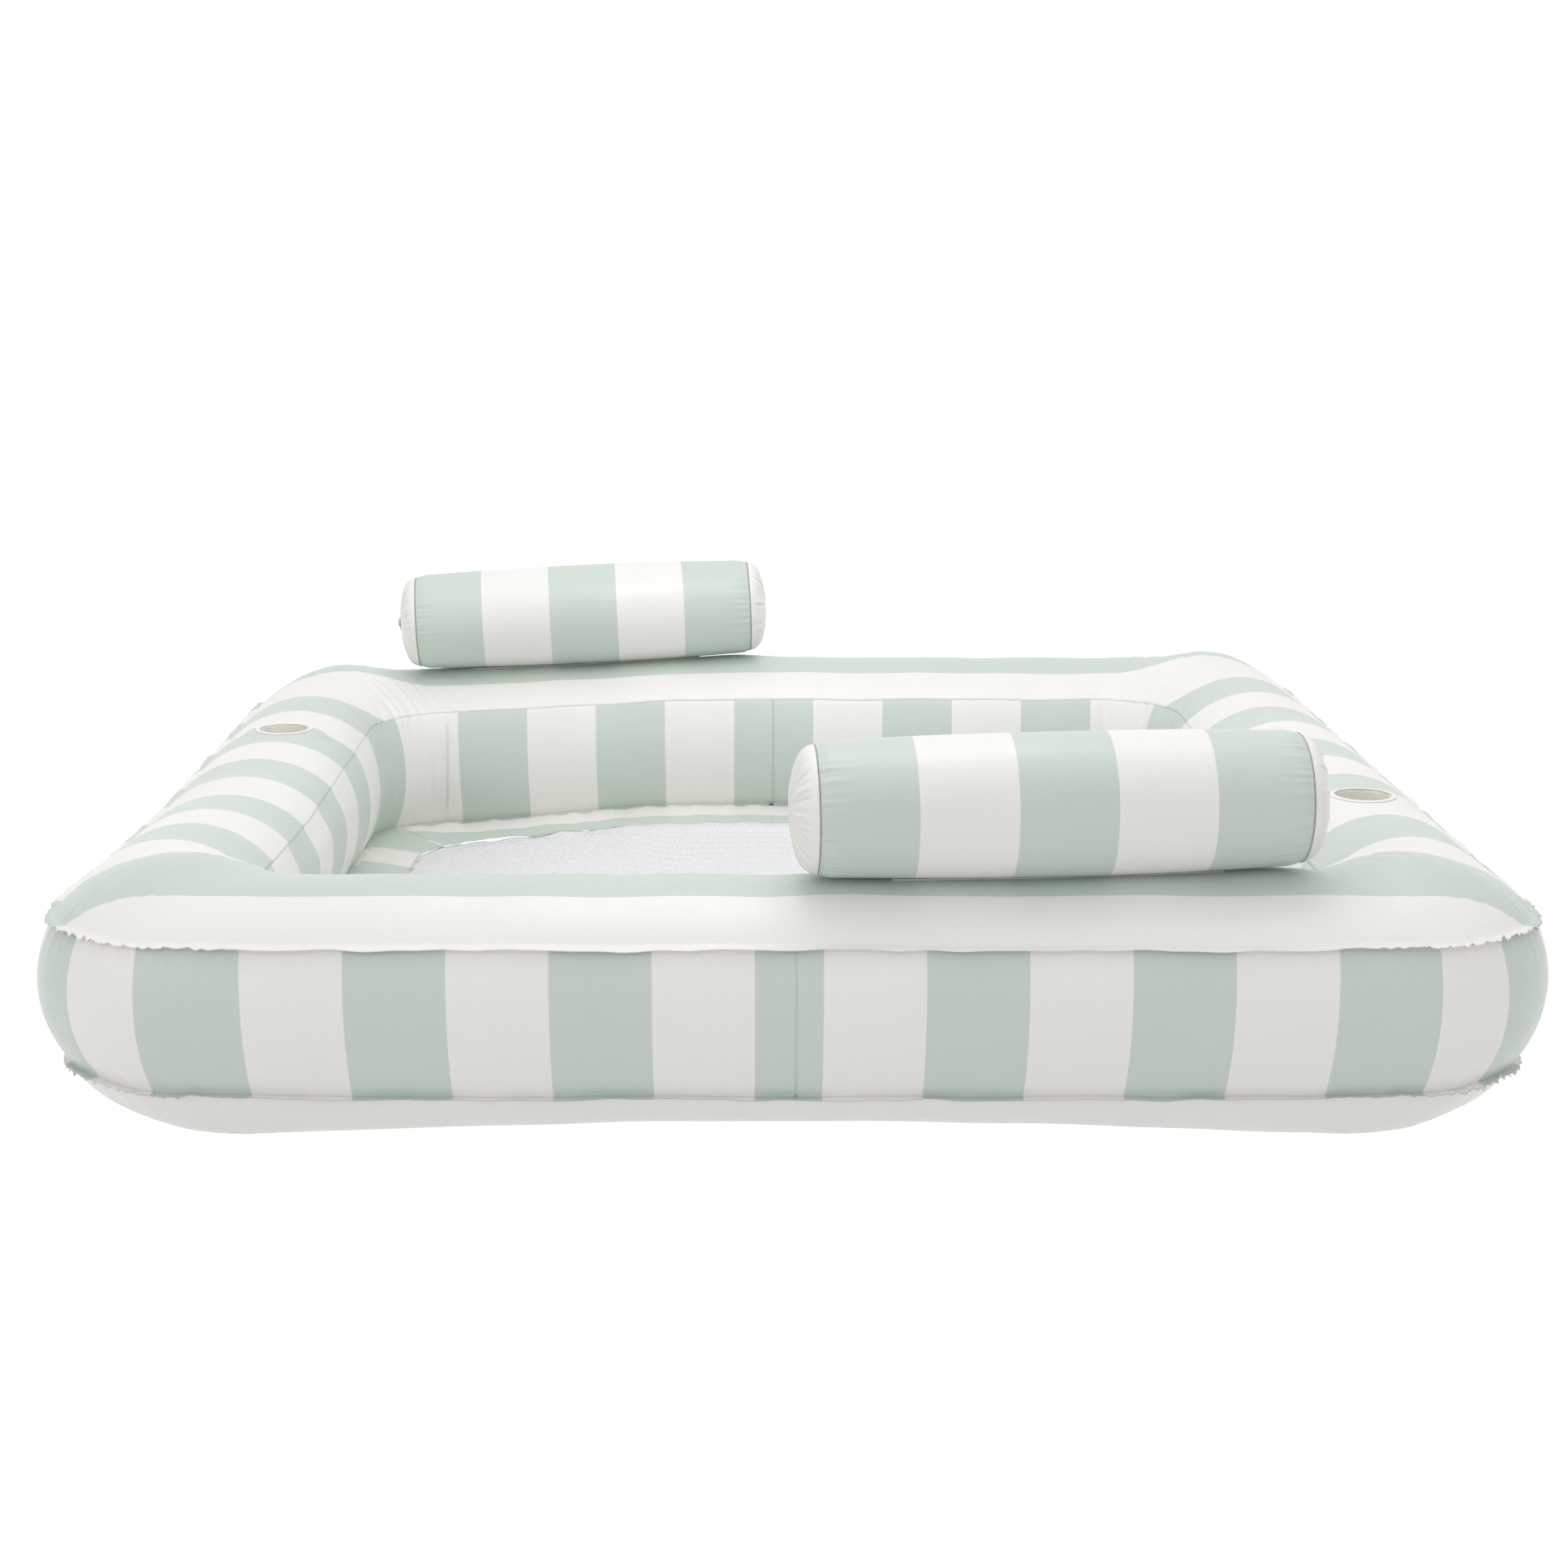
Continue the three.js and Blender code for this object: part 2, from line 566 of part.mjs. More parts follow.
// One side's strip of the border, from the diagonal of one corner to that of the next.
function borderStrip(side) {
  const diagonals = { ...BOTTOM_INNER };
  const stations = [
    ...[2.5, 3.5, 5].map((k) => ({ side: (side + 3) % 4, f: 1, turn: (k * 90) / CORNER_STEPS })),
    { side, f: 1, turn: 0 },
    ...[1.5, 2.5].map((k) => ({ side, f: 1, turn: (k * 90) / CORNER_STEPS })),
  ];
  const rows = stations.map((station) => [
    loopPoint(diagonals, station, borderZ).addScaledVector(outwardAt(station), -1),
    loopPoint(borderInner, station, borderZ),
  ]);
  // stand back from the neighbouring strips along the diagonals
  const heading = outwardAt({ side: (side + 1) % 4 });
  for (const point of rows[0]) point.addScaledVector(heading, GAP);
  for (const point of rows[rows.length - 1]) point.addScaledVector(heading, -GAP);
  return sheetSolid(rows, SHEET, false);
}
SIDE_NAMES.forEach((side, index) => addPiece(`floor_border_${side}`, borderStrip(index), sageVinyl));

const meshLoop = {
  halfX: borderInner.halfX + FLOOR_LAP,
  halfY: borderInner.halfY + FLOOR_LAP,
  radius: FLOOR_INNER_RADIUS + FLOOR_LAP,
};
const meshOutline = STATIONS.map((station) => loopPoint(meshLoop, station, 0))
  .filter((point, i, all) => point.distanceTo(all[(i + 1) % all.length]) > 1);
const netting = new THREE.ExtrudeGeometry(
  new THREE.Shape(meshOutline.map(({ x, y }) => new THREE.Vector2(x, y))), { depth: MESH_SHEET, bevelEnabled: false });
netting.translate(0, 0, borderZ - SHEET - GAP - MESH_SHEET);
addPiece('floor_mesh', netting, netFabric);

// ---------- fittings: the right-hand set, then the same turned half round ----------
for (const side of ['right', 'left']) {
  const half = new THREE.Group();
  half.rotation.z = side === 'right' ? 0 : Math.PI;
  float.add(half);
  cupHolder(half, side);
  pillow(half, side);
  const fitting = new THREE.Group();
  fitting.position.copy(valveSeat);
  fitting.rotation.y = Math.PI / 2;
  half.add(fitting);
  valve(fitting, `ring_valve_${side}`);
}

export default float;
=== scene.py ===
"""Inflatable pool float: striped vinyl ring, net floor, two roll pillows, two cup holders and four valves.

Every sheet is a surface of two parameters, one along the ring and one across the sheet, in metres.
"""
import json
import math
from contextlib import contextmanager

import bmesh
import bpy
import numpy as np
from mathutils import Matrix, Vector


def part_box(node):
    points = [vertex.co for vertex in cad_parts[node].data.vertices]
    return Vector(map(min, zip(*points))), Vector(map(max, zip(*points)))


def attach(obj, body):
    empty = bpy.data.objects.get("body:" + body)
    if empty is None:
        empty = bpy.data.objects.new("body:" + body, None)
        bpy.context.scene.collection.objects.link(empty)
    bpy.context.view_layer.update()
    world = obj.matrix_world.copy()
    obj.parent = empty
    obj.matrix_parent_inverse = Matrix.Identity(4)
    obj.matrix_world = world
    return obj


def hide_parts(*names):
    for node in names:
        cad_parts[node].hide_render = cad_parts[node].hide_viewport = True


bl_info = {
    "name": "Inflatable pool float",
    "version": (1, 0, 0),
    "blender": (4, 5, 0),
    "location": "View3D > Sidebar > Pool float",
    "description": "Builds the sheets, seams, pillows, net and valves of an inflatable pool float",
    "category": "Add Mesh",
}

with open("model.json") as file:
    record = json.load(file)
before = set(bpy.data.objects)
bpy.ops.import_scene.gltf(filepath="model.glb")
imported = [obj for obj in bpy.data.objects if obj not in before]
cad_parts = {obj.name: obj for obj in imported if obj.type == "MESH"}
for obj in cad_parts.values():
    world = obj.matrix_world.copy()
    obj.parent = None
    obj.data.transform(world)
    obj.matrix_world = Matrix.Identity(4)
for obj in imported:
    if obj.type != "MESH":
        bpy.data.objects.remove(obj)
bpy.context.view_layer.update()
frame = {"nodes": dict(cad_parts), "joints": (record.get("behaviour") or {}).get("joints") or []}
JOINTS = {joint["name"]: joint for joint in frame["joints"]}
SIDES = ("right", "left")
QUARTERS = ("front", "right", "back", "left")
UPWARDS = np.array([0.0, 0.0, 1.0])

# ---------- sizes read from the frame ----------
MARGIN = 0.012  # weld flange outside the outer seams
TUBE_WIDTH = 0.220
BOTTOM_INSET = 0.012
FLANGE_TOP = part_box("outer_wall_right")[1]
BORDER_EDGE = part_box("floor_border_back")[1]
MESH_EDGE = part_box("floor_mesh")[1]

TOP_SEAM_Z = FLANGE_TOP.z + 0.0004
BOTTOM_SEAM_Z = BORDER_EDGE.z
TOP_HALF = np.array([0.900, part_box("top_panel")[1].y - MARGIN])
TOP_OUTER = (TOP_HALF[0], TOP_HALF[1], 0.172)
TOP_INNER = (TOP_HALF[0] - TUBE_WIDTH, TOP_HALF[1] - TUBE_WIDTH, 0.130)
BOTTOM_OUTER = (TOP_OUTER[0] - BOTTOM_INSET, TOP_OUTER[1] - BOTTOM_INSET, 0.167)
BOTTOM_INNER = (TOP_INNER[0] + BOTTOM_INSET, TOP_INNER[1] + BOTTOM_INSET, 0.135)
CREST_RISE, CORNER_RISE = 0.054, 0.014
BELLY_DROP, CORNER_DROP = 0.057, 0.021
OUTER_BULGE, INNER_BULGE = 0.030, 0.027
VINYL = 0.0005  # sheet thickness
STEP = 0.0007  # from one welded sheet to the next

STRIPE = 0.120  # stripe of the wall strips and pillows
PANEL_STRIPE = 0.1290  # stripe of the top panel once it is blown up
PANEL_SHIFT = 0.006  # how far the middle stripe of the top panel lies towards the back
PILLOW_STRIPE = 0.1165

# where the left chamber is slack: (from, to) across, along and up, its drop, and how much its crown flattens
SLACK_X, SLACK_Y, SLACK_Z = (0.050, 0.680), (-0.670, -0.100), (0.186, 0.256)
SLACK_DROP, SLACK_FLATTEN = 0.024, 0.16
FULL_Y = (0.620, 0.760)  # the crown fills out again towards the back tube
SINK_X, SINK_Y, SINK_DEPTH = (0.130, 0.620), (-0.250, 0.600), 0.033  # how its inner foot hangs lower

# seeds of the noise that the two sheets of a seam share
INNER_TOP_SEAM, OUTER_TOP_SEAM, OUTER_LOW_SEAM = 21, 31, 71
OUTER_TOP_WRINKLES, INNER_TOP_WRINKLES, OUTER_LOW_WRINKLES = 41, 43, 61
TOP_FLANGE, LOW_FLANGE = 51, 81
SEAM_RISE = {OUTER_TOP_SEAM: 0.005, OUTER_LOW_SEAM: 0.010}  # how much a seam lifts at the corners


# ---------- settings a user would change ----------
def colour_prop(name, description, default):
    return bpy.props.FloatVectorProperty(
        name=name, description=description, default=default, size=4, subtype="COLOR", min=0.0, max=1.0)


def length_prop(name, description, default):
    return bpy.props.FloatProperty(
        name=name, description=description, default=default, min=0.0, subtype="DISTANCE", unit="LENGTH")


class FloatColours(bpy.types.PropertyGroup):
    """Colours of the float's materials."""
    cream: colour_prop("Cream", "Unprinted vinyl and the pale stripes", (0.862, 0.850, 0.815, 1.0))
    sage: colour_prop("Sage", "Printed green stripes", (0.592, 0.668, 0.606, 1.0))
    net: colour_prop("Net", "Floor net and its stitching", (0.97, 0.97, 0.985, 1.0))
    valve: colour_prop("Valve", "Moulded valve vinyl", (0.80, 0.82, 0.79, 1.0))
    # painted shade: the lining's warm beige stands in for the warm shade inside the cup wells
    cup: colour_prop("Cup lining", "Inside of the cup holders", (0.88, 0.86, 0.78, 1.0))


class FloatShape(bpy.types.PropertyGroup):
    """How the inflated sheets wrinkle and ruffle."""
    ruffle: length_prop("Ruffle", "Wave of the weld flange at the corners", 0.0038)
    flange_wave: length_prop("Flange wave", "Wave of the weld flange along the sides", 0.0014)
    pucker: length_prop("Pucker", "Depth of the wrinkles that run off a seam at a corner", 0.0014)
    side_pucker: length_prop("Side pucker", "Depth of the seam wrinkles along the sides", 0.0005)
    crease: length_prop("Crease", "Depth of the upright creases in the inner corners", 0.0045)
    net_pitch: length_prop("Net pitch", "From one hole of the net to the next", 0.0062)


# ---------- numpy helpers ----------
def noise(t, cycles, seed):
    """Smooth periodic noise of t (one period is 1): five cosines whose whole numbers of waves lie round
    `cycles`, with seeded phases, summed and scaled to about -1 to 1."""
    rng = np.random.default_rng(seed)
    total = np.zeros_like(t)
    for share in (0.62, 0.81, 1.0, 1.23, 1.57):
        waves = max(1, round(cycles * share))
        total = total + np.cos(2 * np.pi * (waves * t + rng.random()))
    return total / 3.2


def smoothstep(low, high, x):
    """0 at or before low, 1 at or past high, and the cubic 3k^2 - 2k^3 between."""
    k = np.clip((x - low) / (high - low), 0, 1)
    return k * k * (3 - 2 * k)


def arc_height(chord, rise, v):
    """Height of a circular arc over its chord at v from -1 to 1: sqrt(R^2 - (v c/2)^2) - (R - rise)."""
    radius = (chord * chord / 4 + rise * rise) / (2 * rise)
    return np.sqrt(radius * radius - (v * chord / 2) ** 2) - (radius - rise)


def arc_angle(chord, rise, v):
    """Tilt of the same arc's normal from the chord's normal, asin(v c / 2R), and its radius."""
    radius = (chord * chord / 4 + rise * rise) / (2 * rise)
    return np.arcsin(np.clip(v * chord / 2 / radius, -1, 1)), radius


def raised(xy, z):
    """Points (..., 3) from places (..., 2) and heights (...)."""
    return np.concatenate([xy, z[..., None]], -1)


def uv_grid(shape, u, v):
    """Print coordinates (columns, rows, 2): u and v, each spread over the grid."""
    return np.stack([np.broadcast_to(u, shape), np.broadcast_to(v, shape)], -1)


def one_more(uv, shift=(0.0, 0.0)):
    """The first column again after the last, for a sheet that closes on itself."""
    return np.concatenate([uv, uv[:1] + shift], 0)


def run_length(path, closed=False):
    """Distance along a path (n, 2) at each of its points, and once more back at its start if closed."""
    if closed:
        path = np.concatenate([path, path[:1]])
    step = np.linalg.norm(np.diff(path, axis=0), axis=1)
    return np.concatenate([[0.0], np.cumsum(step)])


def settle(points, hanging=False):
    """Lowers the points (..., 3) of a sheet where the left chamber is slack: by a drop that fades towards
    the back and front tubes and down the walls, and by a share of the height over the seams. What hangs
    from a rim goes down whole."""
    x, y, z = points[..., 0], points[..., 1], points[..., 2]
    share = smoothstep(*SLACK_X, -x) * smoothstep(*SLACK_Y, y)
    drop = SLACK_DROP * (1.0 if hanging else smoothstep(*SLACK_Z, z))
    crown = np.maximum(0, z - TOP_SEAM_Z - STEP)
    flatten = SLACK_FLATTEN * (1 - smoothstep(*FULL_Y, y))
    points[..., 2] = z - share * (drop + flatten * crown)
    return points


def sink(points, weight=1.0):
    """Lowers the points near the slack chamber's inner foot, most at the back left corner, by `weight`."""
    share = smoothstep(*SINK_X, -points[..., 0]) * smoothstep(*SINK_Y, points[..., 1])
    points[..., 2] = np.maximum(0.0, points[..., 2] - SINK_DEPTH * share * weight)
    return points


def lump(distance, reach):
    """0 at a seam, 1 at `reach` from it, then fading: (d/r) exp(1 - d/r)."""
    return distance / reach * np.exp(1 - distance / reach)


# ---------- stations along the ring ----------
class Stations:
    """Columns of a sheet round the ring, from the front middle anticlockwise. Each has its side, its
    place f from -1 to 1 along the straight and its turn in radians round the corner that ends the side."""

    def __init__(self, straight=190, corner=96):
        side, f, turn = [], [], []
        for k in range(4):
            side += [k] * (straight + corner)
            f += list(-1 + 2 * np.arange(straight) / straight) + [1.0] * corner
            turn += [0.0] * straight + list(np.arange(corner) / corner * np.pi / 2)
        first = straight // 2
        self.side = np.roll(np.array(side), -first)
        self.f = np.roll(np.array(f), -first)
        self.turn = np.roll(np.array(turn), -first)
        self.close()

    def close(self):
        """Works out what follows from side, f and turn."""
        angle = -np.pi / 2 + self.side * np.pi / 2
        self.facing = np.stack([np.cos(angle), np.sin(angle)], 1)
        self.outward = np.stack([np.cos(angle + self.turn), np.sin(angle + self.turn)], 1)
        self.share = np.sin(2 * self.turn) ** 2
        self.corner = np.maximum(self.share, smoothstep(0.80, 1.0, np.abs(self.f)) * 0.5)
        length = run_length(self.loop(TOP_OUTER), closed=True)
        self.around = length[:-1] / length[-1]

    def loop(self, loop):
        """The points of a rounded rectangle (half x, half y, corner radius) at every station."""
        half_x, half_y, radius = loop
        across = np.abs(self.facing[:, 0]) > 0.5
        reach = np.where(across, half_x, half_y)
        run = np.where(across, half_y, half_x) - radius
        heading = np.stack([-self.facing[:, 1], self.facing[:, 0]], 1)
        return (self.facing * (reach - radius)[:, None] + heading * (run * self.f)[:, None]
                + self.outward * radius)

    def chosen(self, index, lap=0.0):
        """The stations of a strip, in the order of index, and one more by `lap` under the next strip."""
        part = Stations.__new__(Stations)
        part.side, part.f, part.turn = self.side[index], self.f[index], self.turn[index]
        around = self.around[index]
        if lap:
            part.side = np.append(part.side, part.side[-1])
            part.f = np.append(part.f, part.f[-1] + lap)
            part.turn = np.append(part.turn, 0.0)
            around = np.append(around, around[-1] + 0.001)
        part.close()
        part.around = around
        return part

    def half(self, side):
        """The stations of the right or left half, from one lap seam to the other and on under the next."""
        count = len(self.side)
        first = 0 if side == "right" else count // 2
        return self.chosen((first + np.arange(count // 2 + 1)) % count, LAP)

    def quarter(self, name):
        """The stations of one side's floor border, from mitre to mitre."""
        index, count = QUARTERS.index(name), len(self.side)
        start = count // 2 if name == "front" else 0  # the front's stations lie over the ring's start
        order = (np.arange(count) + start) % count
        sides, turns = self.side[order], self.turn[order]
        before = (sides == (index + 3) % 4) & (turns > np.pi / 4 + 0.005)
        middle = (sides == index) & (turns == 0)
        after = (sides == index) & (turns > 0) & (turns < np.pi / 4 + 0.012)
        return self.chosen(np.concatenate([order[before], order[middle], order[after]]))


LAP = 0.013  # how far a wall strip goes on under the next, as a share of half a straight side
RING = Stations()


def seam_wave(st, seed):
    """Height of a seam above its level: slow waves along the sides, short ones round the corners, and its
    lift there."""
    rise = SEAM_RISE.get(seed, 0.0) * st.corner
    return rise + 0.0012 * noise(st.around, 23, seed) + 0.0012 * st.corner * noise(st.around, 260, seed + 1)


def wrinkles(st, depth, cycles, seed, distance, reach):
    """Wrinkles that run off a seam, as deep as depth at `reach` from it and fading beyond."""
    return (depth * noise(st.around, cycles, seed))[:, None] * lump(np.atleast_2d(distance), reach)


def outer_depth(st, shape):
    """Depth of the wrinkles at an outer seam, deeper round the corners."""
    return shape.side_pucker + (shape.pucker - shape.side_pucker) * st.corner


def inner_depth(st, shape):
    """Depth of the wrinkles at an inner seam, nearly all of it round the corners."""
    return 0.5 * shape.side_pucker + 0.9 * shape.pucker * st.corner


def flange_lift(st, shape, share, seed):
    """Height of a weld flange above its seam at `share` of its width: ripples round the corners, long
    slight waves along the sides, growing as share^1.3."""
    ripples = noise(st.around, 470, seed) + 0.4 * noise(st.around, 1000, seed + 3)
    ripples = shape.ruffle * st.corner * ripples
    waves = shape.flange_wave * noise(st.around, 70, seed + 1) + 0.0016 * noise(st.around, 15, seed + 2)
    return (ripples + waves)[:, None] * share ** 1.3


def flange_width(st, seed):
    """Width of a weld flange, 12 mm give or take the cutter's wander."""
    ragged = (0.05 + 0.18 * st.corner) * noise(st.around, 520, seed + 1)
    return MARGIN * (0.95 + 0.07 * noise(st.around, 31, seed) + ragged)


def flange_points(st, shape, seam, seed, droop, width=1.0):
    """Columns of a weld flange outwards from a seam (n, 3): seam + outward * width * share, and its reach."""
    share = width * np.array([0.12, 0.3, 0.5, 0.7, 0.85, 1.0])[None, :]
    reach = flange_width(st, seed + 5)[:, None] * share
    xy = seam[:, None, :2] + st.outward[:, None, :] * reach[..., None]
    z = seam[:, None, 2] + flange_lift(st, shape, share, seed) - droop * share ** 1.3
    return raised(xy, z), reach


# ---------- meshes ----------
@contextmanager
def mesh_work(piece):
    """Opens a piece's mesh for bmesh and writes it back."""
    work = bmesh.new()
    work.from_mesh(piece.data)
    yield work
    work.to_mesh(piece.data)
    work.free()


def link_mesh(name, points, faces, uvs=None, weld=None):
    """A mesh object from arrays: points (n, 3), faces (m, 4), uvs (m, 4, 2), weld (n)."""
    mesh = bpy.data.meshes.new(name)
    mesh.from_pydata(points.reshape(-1, 3).tolist(), [], faces.tolist())
    if uvs is not None:
        layer = mesh.uv_layers.new(name="print")
        layer.data.foreach_set("uv", uvs.reshape(-1).astype(np.float32))
    if weld is not None:
        attribute = mesh.attributes.new("weld", "FLOAT", "POINT")
        attribute.data.foreach_set("value", weld.reshape(-1).astype(np.float32))
    mesh.shade_smooth()
    mesh.validate()
    piece = bpy.data.objects.new(name, mesh)
    bpy.context.scene.collection.objects.link(piece)
    return piece


def sheet_mesh(name, points, uv, looped=False, weld=None, thickness=VINYL, keep=None):
    """A sheet from a grid of points (columns, rows, 3) whose normals, column x row, are its outer side.
    uv has one more column than points when the sheet is looped. keep(centres) drops faces."""
    columns, rows = points.shape[:2]
    spans = columns if looped else columns - 1
    i, j = np.meshgrid(np.arange(spans), np.arange(rows - 1), indexing="ij")
    i, j = i.ravel(), j.ravel()
    after = (i + 1) % columns
    faces = np.stack([i * rows + j, after * rows + j, after * rows + j + 1, i * rows + j + 1], 1)
    uvs = np.stack([uv[i, j], uv[i + 1, j], uv[i + 1, j + 1], uv[i, j + 1]], 1)
    if keep is not None:
        kept = keep(faces)
        faces, uvs = faces[kept], uvs[kept]
    piece = link_mesh(name, points, faces, uvs, weld)
    if keep is not None:
        with mesh_work(piece) as work:
            bmesh.ops.delete(work, geom=[v for v in work.verts if not v.link_faces], context="VERTS")
    if thickness:
        thicken(piece, thickness)
    return piece


def thicken(piece, thickness):
    """Gives a sheet its thickness, inwards from its outer side."""
    solid = piece.modifiers.new("sheet", "SOLIDIFY")
    solid.thickness = thickness
    solid.offset = -1.0


def turned_mesh(name, profile, place, sides=64):
    """A closed solid turned about a local Z axis: profile rows (radius, height) from axis to axis, or back
    to the first row. place maps local points (n, 3) to the frame."""
    profile = np.array(profile, float)
    angle = 2 * np.pi * np.arange(sides) / sides
    ring = np.stack([np.cos(angle), np.sin(angle)], 1)
    local = np.zeros((sides, len(profile), 3))
    local[..., :2] = ring[:, None, :] * profile[None, :, :1]
    local[..., 2] = profile[None, :, 1]
    turns = np.arange(sides + 1) / sides
    uv = uv_grid((sides + 1, len(profile)), turns[:, None], run_length(profile)[None, :])
    return closed_mesh(name, place(local), uv, looped=True)


def closed_mesh(name, points, uv, looped=False):
    """A solid from a grid of points whose rows, and columns if looped, close on themselves: the seam is
    joined, open ends are filled and every face is turned outwards."""
    piece = sheet_mesh(name, points, uv, looped=looped, thickness=0)
    with mesh_work(piece) as work:
        bmesh.ops.remove_doubles(work, verts=work.verts, dist=1e-6)
        if not looped:
            bmesh.ops.holes_fill(work, edges=[e for e in work.edges if e.is_boundary], sides=0)
        bmesh.ops.recalc_face_normals(work, faces=work.faces)
    return piece


def finish_piece(piece, body, material, slot, *nodes):
    """Gives a piece its material and body, and hides the CAD nodes it stands for. The slot is not used."""
    piece.data.materials.clear()
    piece.data.materials.append(material)
    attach(piece, body)
    if nodes:
        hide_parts(*nodes)
    return piece


# ---------- materials ----------
MIX_A, MIX_B, MIX_COLOUR = 6, 7, 2  # places of a Mix node's colour sockets


class Wiring:
    """Adds nodes to one shader tree."""

    def __init__(self, tree):
        self.tree = tree

    def add(self, kind, **settings):
        node = self.tree.nodes.new(kind)
        for key, value in settings.items():
            setattr(node, key, value)
        return node

    def feed(self, socket, value):
        if isinstance(value, bpy.types.NodeSocket):
            self.tree.links.new(value, socket)
        elif value is not None:
            socket.default_value = value

    def math(self, operation, a, b=None, c=None, clamp=False):
        node = self.add("ShaderNodeMath", operation=operation, use_clamp=clamp)
        for socket, value in zip(node.inputs, (a, b, c)):
            self.feed(socket, value)
        return node.outputs[0]

    def mix(self, factor, a, b, blend="MIX"):
        node = self.add("ShaderNodeMix", data_type="RGBA", blend_type=blend)
        self.feed(node.inputs["Factor"], factor)
        self.feed(node.inputs[MIX_A], a)
        self.feed(node.inputs[MIX_B], b)
        return node.outputs[MIX_COLOUR]

    def noise(self, vector, scale, detail=2.0, roughness=0.5):
        node = self.add("ShaderNodeTexNoise")
        self.feed(node.inputs["Vector"], vector)
        self.feed(node.inputs["Scale"], scale)
        self.feed(node.inputs["Detail"], detail)
        self.feed(node.inputs["Roughness"], roughness)
        return node.outputs["Fac"]

    def ramp(self, value, low, high, to_low=0.0, to_high=1.0):
        node = self.add("ShaderNodeMapRange", interpolation_type="SMOOTHSTEP")
        for socket, number in zip(node.inputs, (value, low, high, to_low, to_high)):
            self.feed(socket, number)
        return node.outputs[0]

    def split(self, vector):
        node = self.add("ShaderNodeSeparateXYZ")
        self.feed(node.inputs[0], vector)
        return node.outputs

    def stretched(self, vector, scale):
        node = self.add("ShaderNodeMapping")
        node.inputs["Scale"].default_value = scale
        self.feed(node.inputs["Vector"], vector)
        return node.outputs[0]

    def around_one(self, value, swing, centre=1.0):
        """centre plus swing times what the value, from 0 to 1, is over a half."""
        return self.math("MULTIPLY_ADD", self.math("SUBTRACT", value, 0.5), swing, centre)

    def seen(self):
        """1 for the rays that look straight, by glossy reflection or through something clear, else 0."""
        rays = self.add("ShaderNodeLightPath").outputs
        mirrored = self.math("MAXIMUM", rays["Is Glossy Ray"], rays["Is Transmission Ray"])
        return self.math("MAXIMUM", rays["Is Camera Ray"], mirrored)

    def group(self, tree, **values):
        node = self.add("ShaderNodeGroup", node_tree=tree)
        for key, value in values.items():
            self.feed(node.inputs[key.replace("_", " ")], value)
        return node.outputs


def new_group(name, inputs, outputs):
    """An empty node group with float or vector sockets: {name: (socket type, default)}."""
    tree = bpy.data.node_groups.new(name, "ShaderNodeTree")
    for label, (kind, default) in inputs.items():
        socket = tree.interface.new_socket(label, in_out="INPUT", socket_type=kind)
        if default is not None:
            socket.default_value = default
    for label in outputs:
        tree.interface.new_socket(label, in_out="OUTPUT", socket_type="NodeSocketFloat")
    wiring = Wiring(tree)
    return tree, wiring, wiring.add("NodeGroupInput").outputs, wiring.add("NodeGroupOutput").inputs


VECTOR = ("NodeSocketVector", None)


def stripes_group():
    """Printed stripes: 1 on a printed stripe, 0 between, with a crisp edge, from a coordinate in stripes."""
    tree, w, given, out = new_group("Printed stripes", {"Print": ("NodeSocketFloat", 0.0)}, ["Mask"])
    wave = w.math("COSINE", w.math("MULTIPLY", given["Print"], math.pi))
    w.feed(out["Mask"], w.math("MULTIPLY_ADD", wave, 60.0, 0.5, clamp=True))
    return tree


def vinyl_group():
    """Calendered vinyl: a fine linen grain pressed into the sheet, faint roller streaks and clouding."""
    tree, w, given, out = new_group(
        "Calendered vinyl", {"Object": VECTOR, "Sheet": VECTOR}, ["Height", "Cloud", "Gloss"])
    sheet = w.split(given["Sheet"])
    along = w.math("SINE", w.math("MULTIPLY", sheet[0], 2 * math.pi / 0.0125))
    across = w.math("SINE", w.math("MULTIPLY", sheet[1], 2 * math.pi / 0.0015))
    linen = w.math("MULTIPLY", w.math("ADD", along, across), 0.5)
    grain = w.noise(given["Object"], 900.0, 3.0, 0.6)
    dimple = w.noise(given["Object"], 120.0, 2.0)
    streak = w.noise(w.stretched(given["Sheet"], (26.0, 0.6, 1.0)), 1.0, 3.0, 0.65)
    cloud = w.noise(given["Object"], 5.0, 3.0, 0.55)
    height = w.math("MULTIPLY_ADD", linen, 0.18, grain)
    w.feed(out["Height"], w.math("MULTIPLY_ADD", dimple, 1.1, height))
    streaks = w.around_one(streak, 0.035, w.around_one(cloud, 0.06))
    w.feed(out["Cloud"], w.around_one(grain, 0.09, streaks))
    w.feed(out["Gloss"], w.ramp(w.noise(given["Object"], 22.0, 4.0, 0.6), 0.3, 0.7, -0.05, 0.06))
    return tree


def scuff_group():
    """Scuffs and specks of use: a few short pale rubs and tiny dark specks."""
    tree, w, given, out = new_group("Scuffs", {"Object": VECTOR}, ["Speck", "Rub"])
    cells = w.add("ShaderNodeTexVoronoi")
    w.feed(cells.inputs["Vector"], given["Object"])
    w.feed(cells.inputs["Scale"], 34.0)
    sparse = w.noise(given["Object"], 11.0, 1.0)
    spot = w.ramp(cells.outputs["Distance"], 0.012, 0.035, 1.0, 0.0)
    w.feed(out["Speck"], w.math("MULTIPLY", spot, w.ramp(sparse, 0.56, 0.60)))
    rubs = w.noise(w.stretched(given["Object"], (60.0, 9.0, 60.0)), 1.0, 2.0)
    w.feed(out["Rub"], w.ramp(rubs, 0.68, 0.78))
    return tree


